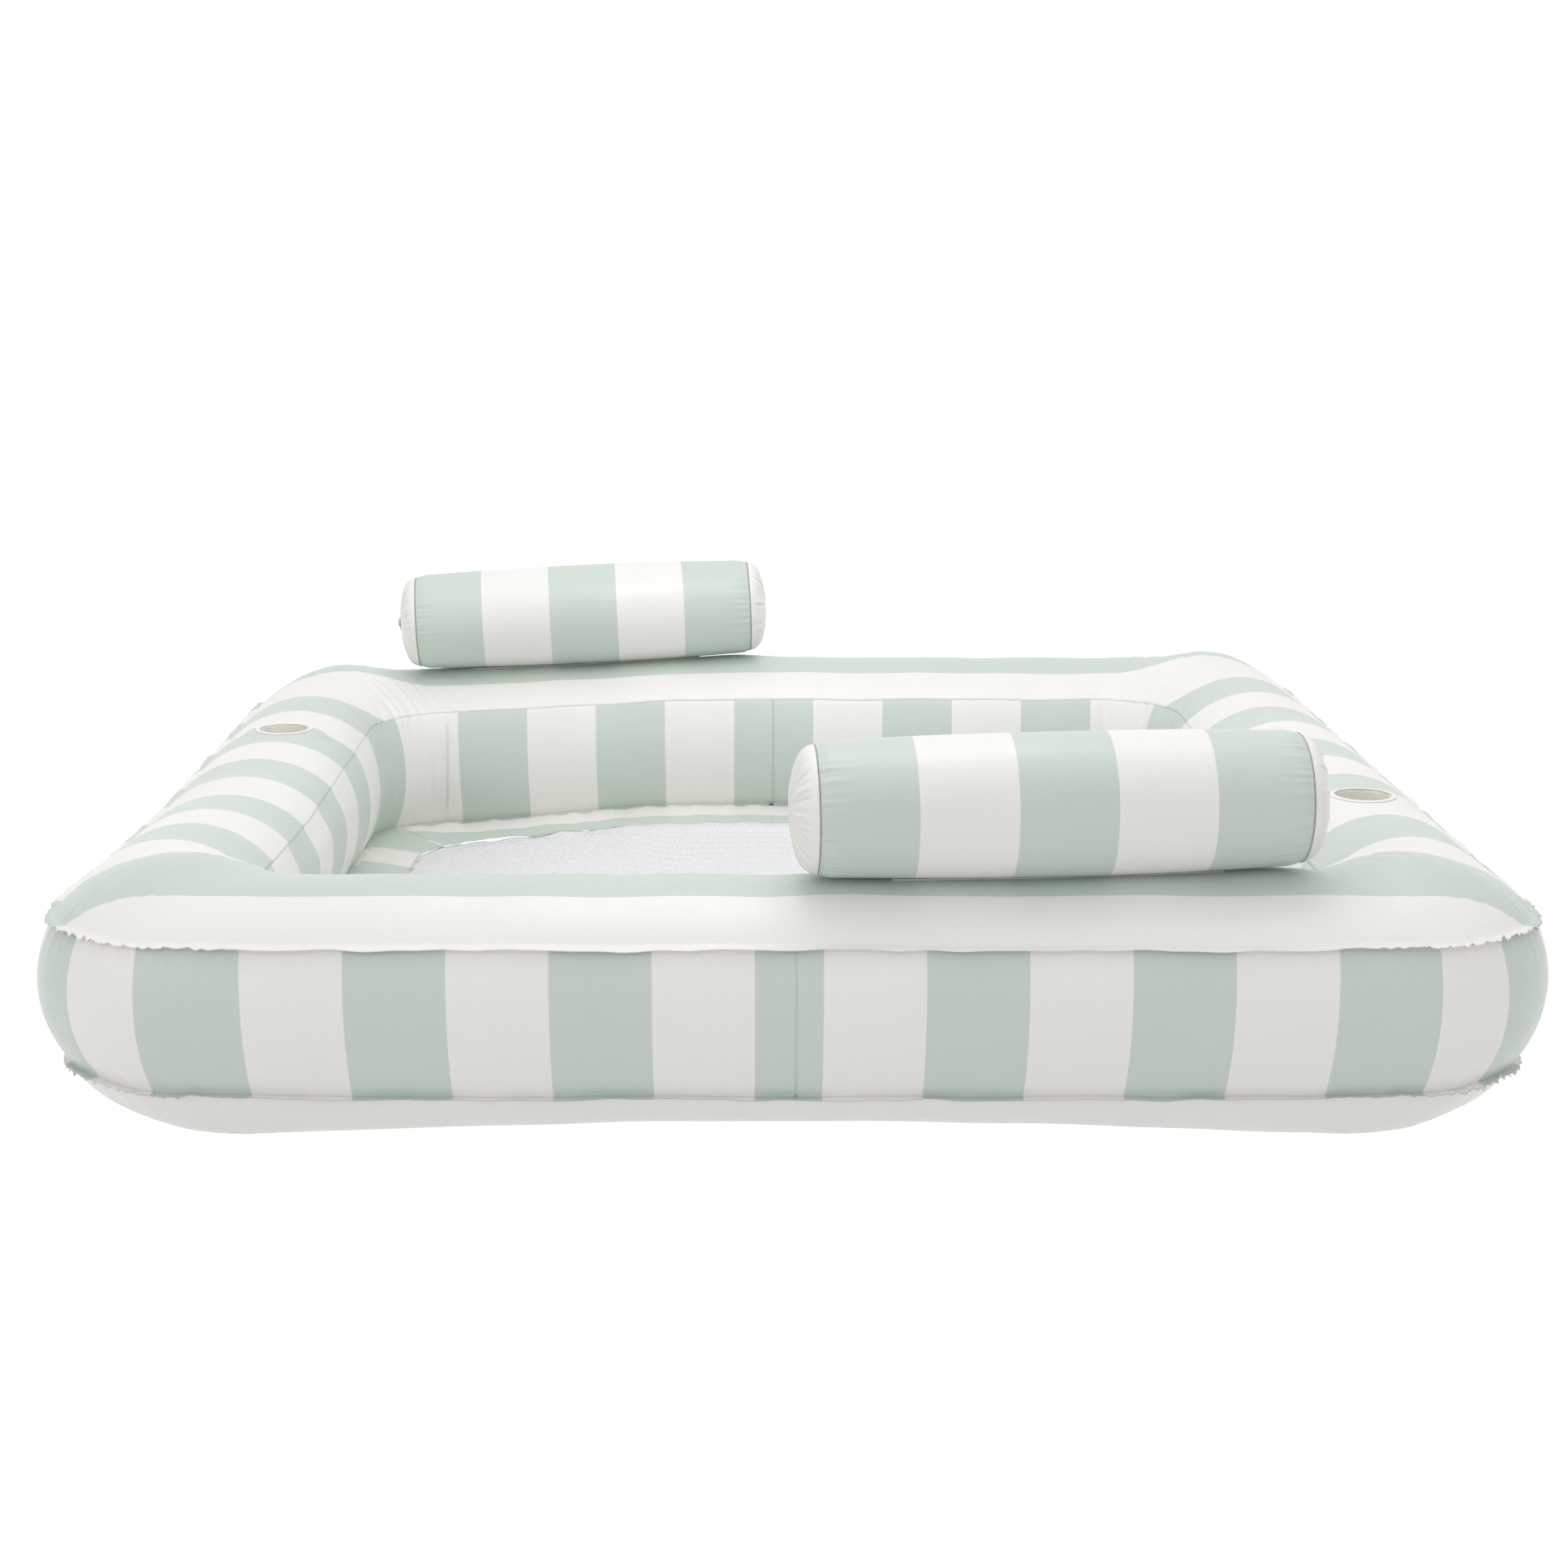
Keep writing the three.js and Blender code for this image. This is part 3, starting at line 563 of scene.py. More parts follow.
def weld_group():
    """Weld band: the fine ribs that the welding bar presses into a flange, and its pressed mask."""
    tree, w, given, out = new_group(
        "Weld band", {"Weld": ("NodeSocketFloat", 0.0), "Object": VECTOR}, ["Height", "Mask"])
    ribs = w.noise(given["Object"], 420.0, 1.0)
    mask = w.ramp(given["Weld"], 0.15, 0.45)
    w.feed(out["Height"], w.math("MULTIPLY", ribs, mask))
    w.feed(out["Mask"], mask)
    return tree


def net_group():
    """Net: staggered round holes at a pitch, from object coordinates; 1 on a thread, 0 in a hole."""
    tree, w, given, out = new_group(
        "Net", {"Object": VECTOR, "Pitch": ("NodeSocketFloat", 0.005)}, ["Thread", "Height"])
    place = w.split(given["Object"])
    x = w.math("DIVIDE", place[0], given["Pitch"])
    y = w.math("DIVIDE", place[1], w.math("MULTIPLY", given["Pitch"], 1.9))

    def hole_distance(shift):
        dx = w.math("SUBTRACT", w.math("FRACT", w.math("ADD", x, shift)), 0.5)
        dy = w.math("SUBTRACT", w.math("FRACT", w.math("ADD", y, shift)), 0.5)
        return w.math("SQRT", w.math("ADD", w.math("MULTIPLY", dx, dx), w.math("MULTIPLY", dy, dy)))

    nearest = w.math("MINIMUM", hole_distance(0.0), hole_distance(0.5))
    w.feed(out["Thread"], w.ramp(nearest, 0.20, 0.27))
    w.feed(out["Height"], w.ramp(nearest, 0.15, 0.36))
    return tree


EDGE_TAN_AND_SHADE = (0.86, 0.80, 0.73, 1.0)  # cut edge of a weld flange, its warm tint partly the edge's own colour and partly painted shade from under the flange
DIRT_GREY = (0.25, 0.24, 0.22, 1.0)
HOLE_SHADE_GREY = (0.66, 0.66, 0.71, 1.0)  # painted shade: the shaded floor under the net, as it shows between the net's threads
THREAD_SHADE, THREAD_WHITE = (0.72, 0.72, 0.74, 1.0), (0.92, 0.92, 0.93, 1.0)


class Materials:
    """All materials of the float, made once."""

    def __init__(self, colours):
        self.colours = colours
        self.stripes = stripes_group()
        self.vinyl = vinyl_group()
        self.scuffs = scuff_group()
        self.weld = weld_group()
        self.net_pattern = net_group()
        self.striped = self.sheet_vinyl("Striped vinyl", tuple(colours.sage))
        self.cream = self.sheet_vinyl("Cream vinyl", None)
        # painted shade: the lining and the cup floors take the warm beige of the shade inside the wells
        self.cup = self.sheet_vinyl("Cup lining shaded vinyl", None, base=tuple(colours.cup), roughness=0.55)
        self.net = self.netting()
        self.thread = self.stitching()
        self.valve = self.moulded()

    def start(self, name, roughness):
        material = bpy.data.materials.new(name)
        material.use_nodes = True
        wiring = Wiring(material.node_tree)
        shader = material.node_tree.nodes["Principled BSDF"]
        shader.inputs["Roughness"].default_value = roughness
        coordinates = wiring.add("ShaderNodeTexCoord").outputs
        return material, wiring, shader, coordinates

    def bump(self, w, shader, height, strength, distance):
        node = w.add("ShaderNodeBump")
        node.inputs["Strength"].default_value = strength
        node.inputs["Distance"].default_value = distance
        w.feed(node.inputs["Height"], height)
        w.feed(shader.inputs["Normal"], node.outputs[0])

    def sheet_vinyl(self, name, stripe, base=None, roughness=0.42):
        """Satin vinyl sheet, plain or printed, with its weld flanges pressed flat and their outer edges
        warmer: partly the cut edge's own tint, partly painted shade.
        """
        material, w, shader, at = self.start(name, roughness)
        cream = base or tuple(self.colours.cream)
        grain = w.group(self.vinyl, Object=at["Object"], Sheet=at["UV"])
        scuffs = w.group(self.scuffs, Object=at["Object"])
        pressed = w.add("ShaderNodeAttribute", attribute_name="weld").outputs["Fac"]
        band = w.group(self.weld, Weld=pressed, Object=at["Object"])
        colour = cream
        if stripe:
            printed = w.group(self.stripes, Print=w.split(at["UV"])[0])["Mask"]
            colour = w.mix(printed, cream, stripe)
        # painted shade: the outer fifth of a flange turns half way to the warm tan that stands for its cut
        # edge and the shade under it
        cut_edge_and_shade = w.math("MULTIPLY", w.ramp(pressed, 0.80, 1.0), 0.5)
        colour = w.mix(cut_edge_and_shade, colour, EDGE_TAN_AND_SHADE)
        colour = w.mix(w.math("MULTIPLY", scuffs["Speck"], 0.35), colour, DIRT_GREY)
        grey = w.add("ShaderNodeCombineColor")
        for socket in grey.inputs[:3]:
            w.feed(socket, grain["Cloud"])
        w.feed(shader.inputs["Base Color"], w.mix(1.0, colour, grey.outputs[0], "MULTIPLY"))
        rough = w.math("ADD", grain["Gloss"], roughness)
        rough = w.math("MULTIPLY_ADD", scuffs["Rub"], 0.10, rough)
        w.feed(shader.inputs["Roughness"], w.math("MULTIPLY_ADD", band["Mask"], 0.08, rough))
        shader.inputs["IOR"].default_value = 1.5
        shader.inputs["Coat Weight"].default_value = 0.12
        shader.inputs["Coat Roughness"].default_value = 0.22
        height = w.math("MULTIPLY_ADD", band["Height"], 1.6, grain["Height"])
        self.bump(w, shader, height, 0.45, 0.00045)
        return material

    def netting(self):
        """White polyester net, open between its threads, where painted shade of the floor below shows."""
        material, w, shader, at = self.start("Floor net", 0.85)
        pitch = bpy.context.scene.float_shape.net_pitch
        pattern = w.group(self.net_pattern, Object=at["Object"], Pitch=pitch)
        fuzz = w.noise(at["Object"], 1400.0, 2.0)
        shade = w.ramp(fuzz, 0.3, 0.7, 0.93, 1.0)
        lit = w.math("MULTIPLY", shade, pattern["Thread"])
        # painted shade: the holes between the threads take the grey of the shaded floor beneath the net
        w.feed(shader.inputs["Base Color"], w.mix(lit, HOLE_SHADE_GREY, tuple(self.colours.net)))
        w.feed(shader.inputs["Alpha"], w.math("MULTIPLY_ADD", pattern["Thread"], 0.55, 0.45))
        shader.inputs["Sheen Weight"].default_value = 0.3
        self.bump(w, shader, w.math("MULTIPLY_ADD", fuzz, 0.3, pattern["Height"]), 0.6, 0.0006)
        return material

    def stitching(self):
        """Twisted polyester sewing thread."""
        material, w, shader, at = self.start("Stitching thread", 0.7)
        ply = w.noise(at["Object"], 2600.0, 1.0)
        w.feed(shader.inputs["Base Color"], w.mix(ply, THREAD_SHADE, THREAD_WHITE))
        shader.inputs["Sheen Weight"].default_value = 0.4
        self.bump(w, shader, ply, 0.5, 0.0003)
        return material

    def moulded(self):
        """Milky moulded vinyl of the valves, with a faint flow mark and a fine matt skin."""
        material, w, shader, at = self.start("Moulded valve vinyl", 0.3)
        flow = w.noise(at["Object"], 160.0, 4.0, 0.6)
        skin = w.noise(at["Object"], 2400.0, 2.0)
        deep = tuple(0.86 * channel for channel in self.colours.valve[:3]) + (1.0,)
        w.feed(shader.inputs["Base Color"], w.mix(w.ramp(flow, 0.3, 0.7), deep, tuple(self.colours.valve)))
        w.feed(shader.inputs["Roughness"], w.ramp(skin, 0.2, 0.8, 0.24, 0.40))
        shader.inputs["Coat Weight"].default_value = 0.2
        self.bump(w, shader, w.math("MULTIPLY_ADD", skin, 0.4, flow), 0.3, 0.0004)
        return material


MATERIALS = {}


def material(name):
    """One of the float's materials, all of them made at the first call."""
    if not MATERIALS:
        MATERIALS["all"] = Materials(bpy.context.scene.float_colours)
    return getattr(MATERIALS["all"], name)


# ---------- the ring's sheets ----------
def panel_section(st, inner, outer, rise, u):
    """A crowned panel between two seam loops, inner + (outer - inner) u: places, height of the arc over its
    chord, the arc's tilt, the signed arc length from the crest, the direction across and the middle."""
    a, b = st.loop(inner), st.loop(outer)
    chord = np.linalg.norm(b - a, axis=1)
    v = 2 * u[None, :] - 1
    height = arc_height(chord[:, None], rise[:, None], v)
    angle, radius = arc_angle(chord[:, None], rise[:, None], v)
    xy = a[:, None, :] + (b - a)[:, None, :] * u[None, :, None]
    return xy, height, angle, radius * angle, (b - a) / chord[:, None], (a + b) / 2


HOLE_MARGIN = 0.0012  # from a cup's well to the edge of its hole in the panel


def cup_places():
    """Centres of the cup holders: (side, x, y, radius of the well)."""
    for side in SIDES:
        low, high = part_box(f"cup_well_{side}")
        yield side, (low.x + high.x) / 2, (low.y + high.y) / 2, (high.x - low.x) / 2


def open_for_cups(points):
    """Pushes the vertices inside a cup hole out to its edge."""
    grid = points.copy()
    for _, x, y, radius in cup_places():
        hole = radius + HOLE_MARGIN
        away = grid[..., :2] - np.array([x, y])
        distance = np.linalg.norm(away, axis=-1)
        near = distance < hole
        grid[..., :2][near] = np.array([x, y]) + away[near] / distance[near][:, None] * hole
    return grid


def crest_rise(st):
    """Height of the top panel's crest over its seams, more round the corners."""
    return CREST_RISE + CORNER_RISE * st.share + 0.0007 * noise(st.around, 9, 11)


CREST_Z = TOP_SEAM_Z + STEP + CREST_RISE
CUP_LEVEL = CREST_Z - 0.0034  # the rim of a cup holder pulls the crest flat round it


def flatten_round_cups(points):
    """Blends the panel into the level of a cup's rim: all of it up to 6 mm outside, none from 34 mm."""
    for _, x, y, radius in cup_places():
        distance = np.linalg.norm(points[..., :2] - (x, y), axis=-1)
        share = 1 - smoothstep(radius + 0.006, radius + 0.034, distance)
        points[..., 2] = points[..., 2] * (1 - share) + CUP_LEVEL * share
    return points


def crest_under(place_in, s):
    """Height of the settled crest under a pillow's own line at s along it."""
    spot = place_in.foot[None, :] + s[..., None] * place_in.along[None, :]
    spot[..., 2] = CREST_Z
    return settle(spot)[..., 2]


PILLOW_REST = 0.0022  # from a pillow's lowest line down to the panel it lies on


def meet_pillows(points):
    """Swells the top panel up to each pillow's lowest line: whole along its tab, gone 90 mm past its ends,
    and fading across the tube as exp(-(d / 45 mm)^2)."""
    for side in SIDES:
        place_in = PillowFrame(side)
        heading = place_in.along[:2] / np.linalg.norm(place_in.along[:2])
        away = points[..., :2] - place_in.foot[:2]
        s = away @ heading
        d = away @ np.array([-heading[1], heading[0]])
        gap = place_in.line(s) - PILLOW_REST - crest_under(place_in, s)
        fill = 1 - smoothstep(0.215, place_in.half + 0.090, np.abs(s))
        points[..., 2] += np.maximum(gap, 0) * fill * np.exp(-(d / 0.045) ** 2)
    return points


def build_top_panel(shape):
    """Top panel: crown between the inner and outer seams, wrinkled towards them, then its weld flange."""
    st = RING
    even = np.linspace(0, 1, 40)
    u = 0.5 * (0.5 - 0.5 * np.cos(np.pi * even)) + 0.5 * even
    xy, height, angle, length, direction, middle = panel_section(st, TOP_INNER, TOP_OUTER, crest_rise(st), u)
    half = np.abs(length[:, -1:])
    seams = [seam_wave(st, seed)[:, None] for seed in (INNER_TOP_SEAM, OUTER_TOP_SEAM)]
    wave = (1 - u)[None, :] * seams[0] + u[None, :] * seams[1]
    lift = wrinkles(st, outer_depth(st, shape), 250, OUTER_TOP_WRINKLES, half - length, 0.009)
    lift = lift + wrinkles(st, inner_depth(st, shape), 200, INNER_TOP_WRINKLES, half + length, 0.010)
    lift = lift + (0.0009 * noise(st.around, 33, 45))[:, None] * (4 * u * (1 - u))[None, :]
    xy = xy + direction[:, None, :] * (np.sin(angle) * lift)[..., None]
    crown = raised(xy, TOP_SEAM_Z + STEP + height + wave + np.cos(angle) * lift)
    edge, reach = flange_points(st, shape, crown[:, -1], TOP_FLANGE, 0.0022)
    points = np.concatenate([crown, edge], 1)
    length = np.concatenate([length, length[:, -1:] + reach], 1)
    flat = middle[:, None, :] + direction[:, None, :] * length[..., None]
    uv = one_more(uv_grid(length.shape, (flat[..., 1] - PANEL_SHIFT) / PANEL_STRIPE, flat[..., 0]))
    weld = np.zeros(length.shape)
    weld[:, len(u):] = reach / reach[:, -1:]
    grid = meet_pillows(settle(flatten_round_cups(open_for_cups(points))))
    points = points[:, ::-1]
    return sheet_mesh("top_panel_skin", grid[:, ::-1], uv[:, ::-1], looped=True, weld=weld[:, ::-1],
                      keep=lambda faces: outside_cups(points, faces))


def outside_cups(points, faces):
    """Mask of the faces that have a corner outside every cup hole."""
    inside = np.zeros(points.shape[0] * points.shape[1], bool)
    for _, x, y, radius in cup_places():
        away = points.reshape(-1, 3)[:, :2] - (x, y)
        inside |= np.linalg.norm(away, axis=1) < radius + HOLE_MARGIN
    return ~inside[faces].all(axis=1)


def build_bottom_panel(shape):
    """Bottom panel: belly between the seams, flattened where it meets the ground, and its flanges."""
    st = RING
    u = np.linspace(0, 1, 34)
    drop = BELLY_DROP + CORNER_DROP * np.where(st.turn > 0, 1.0, st.f ** 2)
    xy, height, angle, length, direction, _ = panel_section(st, BOTTOM_INNER, BOTTOM_OUTER, drop, u)
    from_outer = np.abs(length[:, -1:]) - length
    lift = wrinkles(st, outer_depth(st, shape), 230, OUTER_LOW_WRINKLES, from_outer, 0.013)
    xy = xy + direction[:, None, :] * (np.sin(angle) * lift)[..., None]
    wave = u[None, :] * seam_wave(st, OUTER_LOW_SEAM)[:, None]
    belly = raised(xy, np.maximum(BOTTOM_SEAM_Z - 2 * STEP - height + wave - np.cos(angle) * lift, 0.0))
    edge, reach = flange_points(st, shape, belly[:, -1], LOW_FLANGE, LOW_DROOP)
    points = np.concatenate([inner_margin(st, belly), belly, edge], 1)
    near_foot = np.concatenate([[1.0], 1 - smoothstep(0.0, 0.42, u), np.zeros(edge.shape[1])])
    points = sink(points, near_foot[None, :])
    grid = points.shape[:2]
    turns = np.arange(len(st.side)) / len(st.side) * BOTTOM_STRIPES
    uv = uv_grid(grid, turns[:, None], np.linspace(0, 0.28, grid[1])[None, :])
    uv = one_more(uv, (BOTTOM_STRIPES, 0))
    weld = np.zeros(grid)
    weld[:, len(u) + 1:] = reach / reach[:, -1:]
    weld[:, 0] = INNER_WELD
    return sheet_mesh("bottom_panel_skin", points, uv, looped=True, weld=weld)


BOTTOM_STRIPES = 56  # the ring's length in stripes, a whole number so that the grain closes
LOW_DROOP = 0.0004  # how far the lower flange hangs at its edge
INNER_WELD = 0.7  # how plainly an inner margin shows the welding bar's ribs


def inner_margin(st, sheet):
    """The weld margin of a sheet's first row, 10 mm inwards from it."""
    margin = sheet[:, :1].copy()
    margin[..., :2] -= st.outward[:, None, :] * 0.010
    return margin


def wall_section(st, low_loop, high_loop, bulge, low_wave, high_wave):
    """Points of a wall between its bottom and top seams, bulging along the station's outward direction by
    the arc over its height, and how far each row is from either seam along the sheet."""
    v = np.linspace(0, 1, 32)
    low, high = st.loop(low_loop), st.loop(high_loop)
    low_z, high_z = BOTTOM_SEAM_Z + low_wave, TOP_SEAM_Z + high_wave
    chord = TOP_SEAM_Z - BOTTOM_SEAM_Z
    length = 1.06 * chord  # the arc is about 6 % longer than its chord
    xy = low[:, None, :] + (high - low)[:, None, :] * v[None, :, None]
    out = math.copysign(1, bulge) * arc_height(chord, abs(bulge), 2 * v - 1)
    xy = xy + st.outward[:, None, :] * out[None, :, None]
    return raised(xy, low_z[:, None] + (high_z - low_z)[:, None] * v[None, :]), v * length, (1 - v) * length


def push_out(points, st, amount):
    """Moves the points of a wall outwards, in place."""
    points[..., :2] += st.outward[:, None, :] * amount[..., None]


def lap_offset(length):
    """The free end of a strip lies over the next one: 0.9 mm out at the end, 0 after 40 mm."""
    return 0.0009 * (1 - smoothstep(0.0, 0.33, length))


def across_wall(from_low):
    """0 at both seams of a wall and 1 halfway, as a half sine."""
    return np.sin(np.pi * from_low / from_low[-1])[None, :]


def build_outer_wall(shape, side):
    """Outer wall strip of one side, with the flange margins that it shares with the panels."""
    st = RING.half(side)
    waves = [seam_wave(st, seed) for seed in (OUTER_LOW_SEAM, OUTER_TOP_SEAM)]
    face, from_low, from_high = wall_section(st, BOTTOM_OUTER, TOP_OUTER, OUTER_BULGE, *waves)
    depth = outer_depth(st, shape)
    lift = wrinkles(st, depth, 250, OUTER_TOP_WRINKLES, from_high, 0.009)
    lift = lift + wrinkles(st, depth, 230, OUTER_LOW_WRINKLES, from_low, 0.009)
    lift = lift + 0.0010 * noise(st.around, 27, 91)[:, None] * across_wall(from_low)
    length = run_length(st.loop(TOP_OUTER)) / STRIPE
    push_out(face, st, lift + lap_offset(length)[:, None])
    low_edge, low_reach = flange_points(st, shape, face[:, 0], LOW_FLANGE, LOW_DROOP, 0.86)
    high_edge, high_reach = flange_points(st, shape, face[:, -1], TOP_FLANGE, 0.0036, 0.84)
    points = settle(np.concatenate([low_edge[:, ::-1], face, high_edge], 1))
    # where the strip turns the two corners, and the print that has been stretched or gathered to there
    total, lap = length[-2], length[-1] - length[-2]
    places = [0, 6.2, 6.92, 8.3, total - 8.3, total - 7.12, total - 6.4, total, total + lap]
    prints = [0.23, 6.43, 7.5, 9.05, 20.9, 22.5, 23.5, 29.9, 29.9 + lap]
    print_at = np.interp(length, places, prints)
    grid = points.shape[:2]
    uv = uv_grid(grid, print_at[:, None], np.linspace(0, 0.23, grid[1])[None, :])
    edge = low_reach.shape[1]
    weld = np.zeros(grid)
    weld[:, :edge] = (low_reach / low_reach[:, -1:])[:, ::-1] * INNER_WELD
    weld[:, -edge:] = high_reach / high_reach[:, -1:]
    return sheet_mesh(f"outer_wall_{side}_skin", points, uv, weld=weld)


def creases(st, from_low, depth, seed):
    """Upright creases in the inner corners: narrow folds -exp(-(s/w)^2) with a soft ridge beside them, each
    over its own stretch of the height, thrown where the wall turns."""
    rng = np.random.default_rng(seed)
    height = from_low[-1]
    total = np.zeros((len(st.side), len(from_low)))
    turns = st.turn * (BOTTOM_INNER[2] + INNER_BULGE)
    for side in range(4):
        here = (st.side == side) & (st.turn > 0)
        for k in range(7):
            place = rng.uniform(0.02, 0.235)
            width = rng.uniform(0.0022, 0.0055)
            low, high = rng.uniform(0.0, 0.25), rng.uniform(0.7, 1.0)
            strength = rng.uniform(0.15, 1.0) * (1.0 if k == 0 else 0.45)
            if (side, k) == (2, 0):  # the deep fold beside the back left corner
                place, width, low, high, strength = 0.020, 0.0030, 0.02, 0.98, 1.3
            s = np.where(here, turns - place, 1.0)
            fold = np.exp(-(s / width) ** 2) - 0.55 * np.exp(-((s - 2.4 * width) / (1.8 * width)) ** 2)
            span = from_low / height
            reach = smoothstep(low, low + 0.2, span) * (1 - smoothstep(high - 0.2, high, span))
            total -= depth * strength * (fold * here)[:, None] * reach[None, :]
    return total


def build_inner_wall(shape, side):
    """Inner wall strip of one side: hollow to the lounge, creased in its corners, with its margins."""
    st = RING.half(side)
    waves = [0 * st.around, seam_wave(st, INNER_TOP_SEAM)]
    face, from_low, from_high = wall_section(st, BOTTOM_INNER, TOP_INNER, -INNER_BULGE, *waves)
    depth = inner_depth(st, shape)
    lift = wrinkles(st, depth, 200, INNER_TOP_WRINKLES, from_high, 0.016)
    lift = lift + wrinkles(st, depth, 180, 63, from_low, 0.014)
    lift = lift - 0.0012 * noise(st.around, 21, 93)[:, None] * across_wall(from_low)
    lift = lift + creases(st, from_low, -shape.crease, 7)
    length = run_length(st.loop(TOP_INNER)) / STRIPE
    push_out(face, st, lift - lap_offset(length)[:, None])
    face[:, 0, 2] += STEP
    under_seam = raised(st.outward * 0.006, np.full(len(length), 0.0055))
    tuck = face[:, -1:] + under_seam[:, None, :]
    points = np.concatenate([inner_margin(st, face), face, tuck], 1)
    foot_share = 1 - smoothstep(*SLACK_Z, points[..., 2])
    points = sink(settle(points), foot_share)
    # the print from the nearer lap: gathered round the corner, and towards the foot by up to 2.2 %
    total = length[-2]
    nearest = np.minimum(length, total - length)
    print_at = np.interp(nearest, [0, 4.57, 5.55, 6.85, total / 2], [-0.07, 4.5, 5.5, 6.5, 10.0])
    gather = 0.022 * np.clip((TOP_SEAM_Z - points[..., 2]) / (TOP_SEAM_Z - BOTTOM_SEAM_Z), 0, 1)
    gather = gather * (1 - smoothstep(4.5, 6.5, nearest))[:, None]
    grid = points.shape[:2]
    uv = uv_grid(grid, print_at[:, None] * (1 + gather), np.linspace(0, 0.21, grid[1])[None, :])
    weld = np.zeros(grid)
    weld[:, 0] = INNER_WELD
    return sheet_mesh(f"inner_wall_{side}_skin", points[:, ::-1], uv[:, ::-1], weld=weld[:, ::-1])


# ---------- the floor ----------
FLOOR_DIP = 0.013  # how far the border's inner edge hangs below its seam
BORDER = 0.1  # width of the border strips, as cut
NET_CORNER = 0.127  # radius of the net's corners


def border_lap(st, seed):
    """How far the border reaches in from the inner seam: about 100 mm, wandering where it was cut."""
    return 0.094 + 0.004 * noise(st.around, 31, seed) + 0.003 * noise(st.around, 110, seed + 1)


def border_height(around, share, depth):
    """Height of the border over its seam: a dip that grows as share^1.2, slow waves and a soft fold."""
    dip = (0.0020 * noise(around, 44, 111)[:, None] - FLOOR_DIP) * share ** 1.2
    return dip + 0.0018 * noise(around, 95, 113)[:, None] * lump(share * depth[:, None], 0.018)


def build_floor_border(side):
    """One side's border strip: level at the seam, dipping a little towards the net, its edge wandering."""
    st = RING.quarter(side)
    seam = st.loop(BOTTOM_INNER)
    inwards = st.loop((BOTTOM_INNER[0] - BORDER, BOTTOM_INNER[1] - BORDER, 0.115)) - seam
    share = np.linspace(0, 1, 22)
    reach = border_lap(st, 101) / BORDER
    xy = seam[:, None, :] + inwards[:, None, :] * (share[None, :, None] * reach[:, None, None])
    level = BOTTOM_SEAM_Z + (0.0008 if side in ("front", "back") else 0.0002)
    points = raised(xy, level + border_height(st.around, share[None, :], np.linalg.norm(inwards, axis=1)))
    points = sink(points)
    uv = uv_grid(points.shape[:2], (np.abs(points[..., 1]) - 0.566) / STRIPE, points[..., 0])
    weld = np.zeros(points.shape[:2])
    weld[:, -4:] = 0.5
    return sheet_mesh(f"floor_border_{side}_skin", points, uv, weld=weld)


def floor_sag(x, y):
    """Dip of the net below its edge: 14 mm times (1 - (x/a)^2)(1 - (y/b)^2), and slack waves."""
    a, b = MESH_EDGE.x, MESH_EDGE.y
    bowl = np.clip(1 - (x / a) ** 2, 0, 1) * np.clip(1 - (y / b) ** 2, 0, 1)
    waves = 0.0016 * np.sin(9 * x + 2.2 * np.sin(4 * y)) * np.cos(7.3 * y + 1.5 * x)
    return -0.014 * bowl + waves * np.sqrt(bowl)


def build_net():
    """Floor net: a rounded rectangle, ruled from its middle out to its edge, which lies sewn over the
    border; inside it sags a little."""
    edge = RING.loop((MESH_EDGE.x, MESH_EDGE.y, NET_CORNER))
    edge = edge - RING.outward * (0.0014 + 0.0014 * noise(RING.around, 300, 117))[:, None]
    reach = np.linalg.norm(RING.loop(BOTTOM_INNER) - edge, axis=1)
    over = border_height(RING.around, (reach / border_lap(RING, 101))[:, None], 0 * reach + BORDER)[:, 0]
    edge, over = edge[::2], over[::2]
    share = np.linspace(0.002, 1, 90) ** 0.7
    xy = edge[:, None, :] * share[None, :, None]
    inside = np.linalg.norm(edge, axis=1)[:, None] * (1 - share[None, :])
    lying = 1 - smoothstep(0.010, 0.060, inside)
    level = -FLOOR_DIP - 0.0010 + floor_sag(xy[..., 0], xy[..., 1])
    points = sink(raised(xy, BOTTOM_SEAM_Z + 0.0016 + over[:, None] * lying + level * (1 - lying)))
    uv = one_more(points[..., :2])
    piece = sheet_mesh("floor_net", points[:, ::-1], uv[:, ::-1], looped=True, thickness=0)
    with mesh_work(piece) as work:
        rim = [e for e in work.edges if e.is_boundary and all(v.co.xy.length < 0.02 for v in e.verts)]
        bmesh.ops.holes_fill(work, edges=rim, sides=0)
    thicken(piece, 0.0005)
    return piece


def build_stitching():
    """Zigzag seam that sews the net to the border: a square thread along a triangle wave round the edge."""
    inset, swing, thick = 0.006, 0.0026, 0.00045
    path = RING.loop((MESH_EDGE.x - inset, MESH_EDGE.y - inset, NET_CORNER - inset / 2))
    length = run_length(path, closed=True)
    teeth = 2 * int(length[-1] / 0.0085)
    at = np.arange(teeth) * length[-1] / teeth
    over = border_height(RING.around, np.full((len(path), 1), 0.95), np.full(len(path), BORDER))
    x, y, out_x, out_y, lying = (np.interp(at, length, np.append(column, column[0]))
                                 for column in (*path.T, *RING.outward.T, over[:, 0]))
    side = np.where(np.arange(teeth) % 2, swing, -swing)
    centre = sink(np.stack([x + out_x * side, y + out_y * side, BOTTOM_SEAM_Z + 0.0026 + lying], 1))
    ahead = np.roll(centre, -1, 0) - np.roll(centre, 1, 0)
    ahead /= np.linalg.norm(ahead, axis=1)[:, None]
    sideways = np.cross(ahead, [0, 0, 1.0]) * thick
    upwards = np.tile([0, 0, thick], (teeth, 1))
    points = np.stack([centre + offset for offset in (sideways, upwards, -sideways, -upwards, sideways)], 1)
    return closed_mesh("floor_stitching", points, np.zeros((teeth + 1, 5, 2)), looped=True)


# ---------- cup holders ----------
CUP_SIDES, WELL_ROWS = 96, 26
WELL_FOOT = 0.0340  # radius of a well at its foot
CUP_SEEDS = {"right": 131, "left": 137}


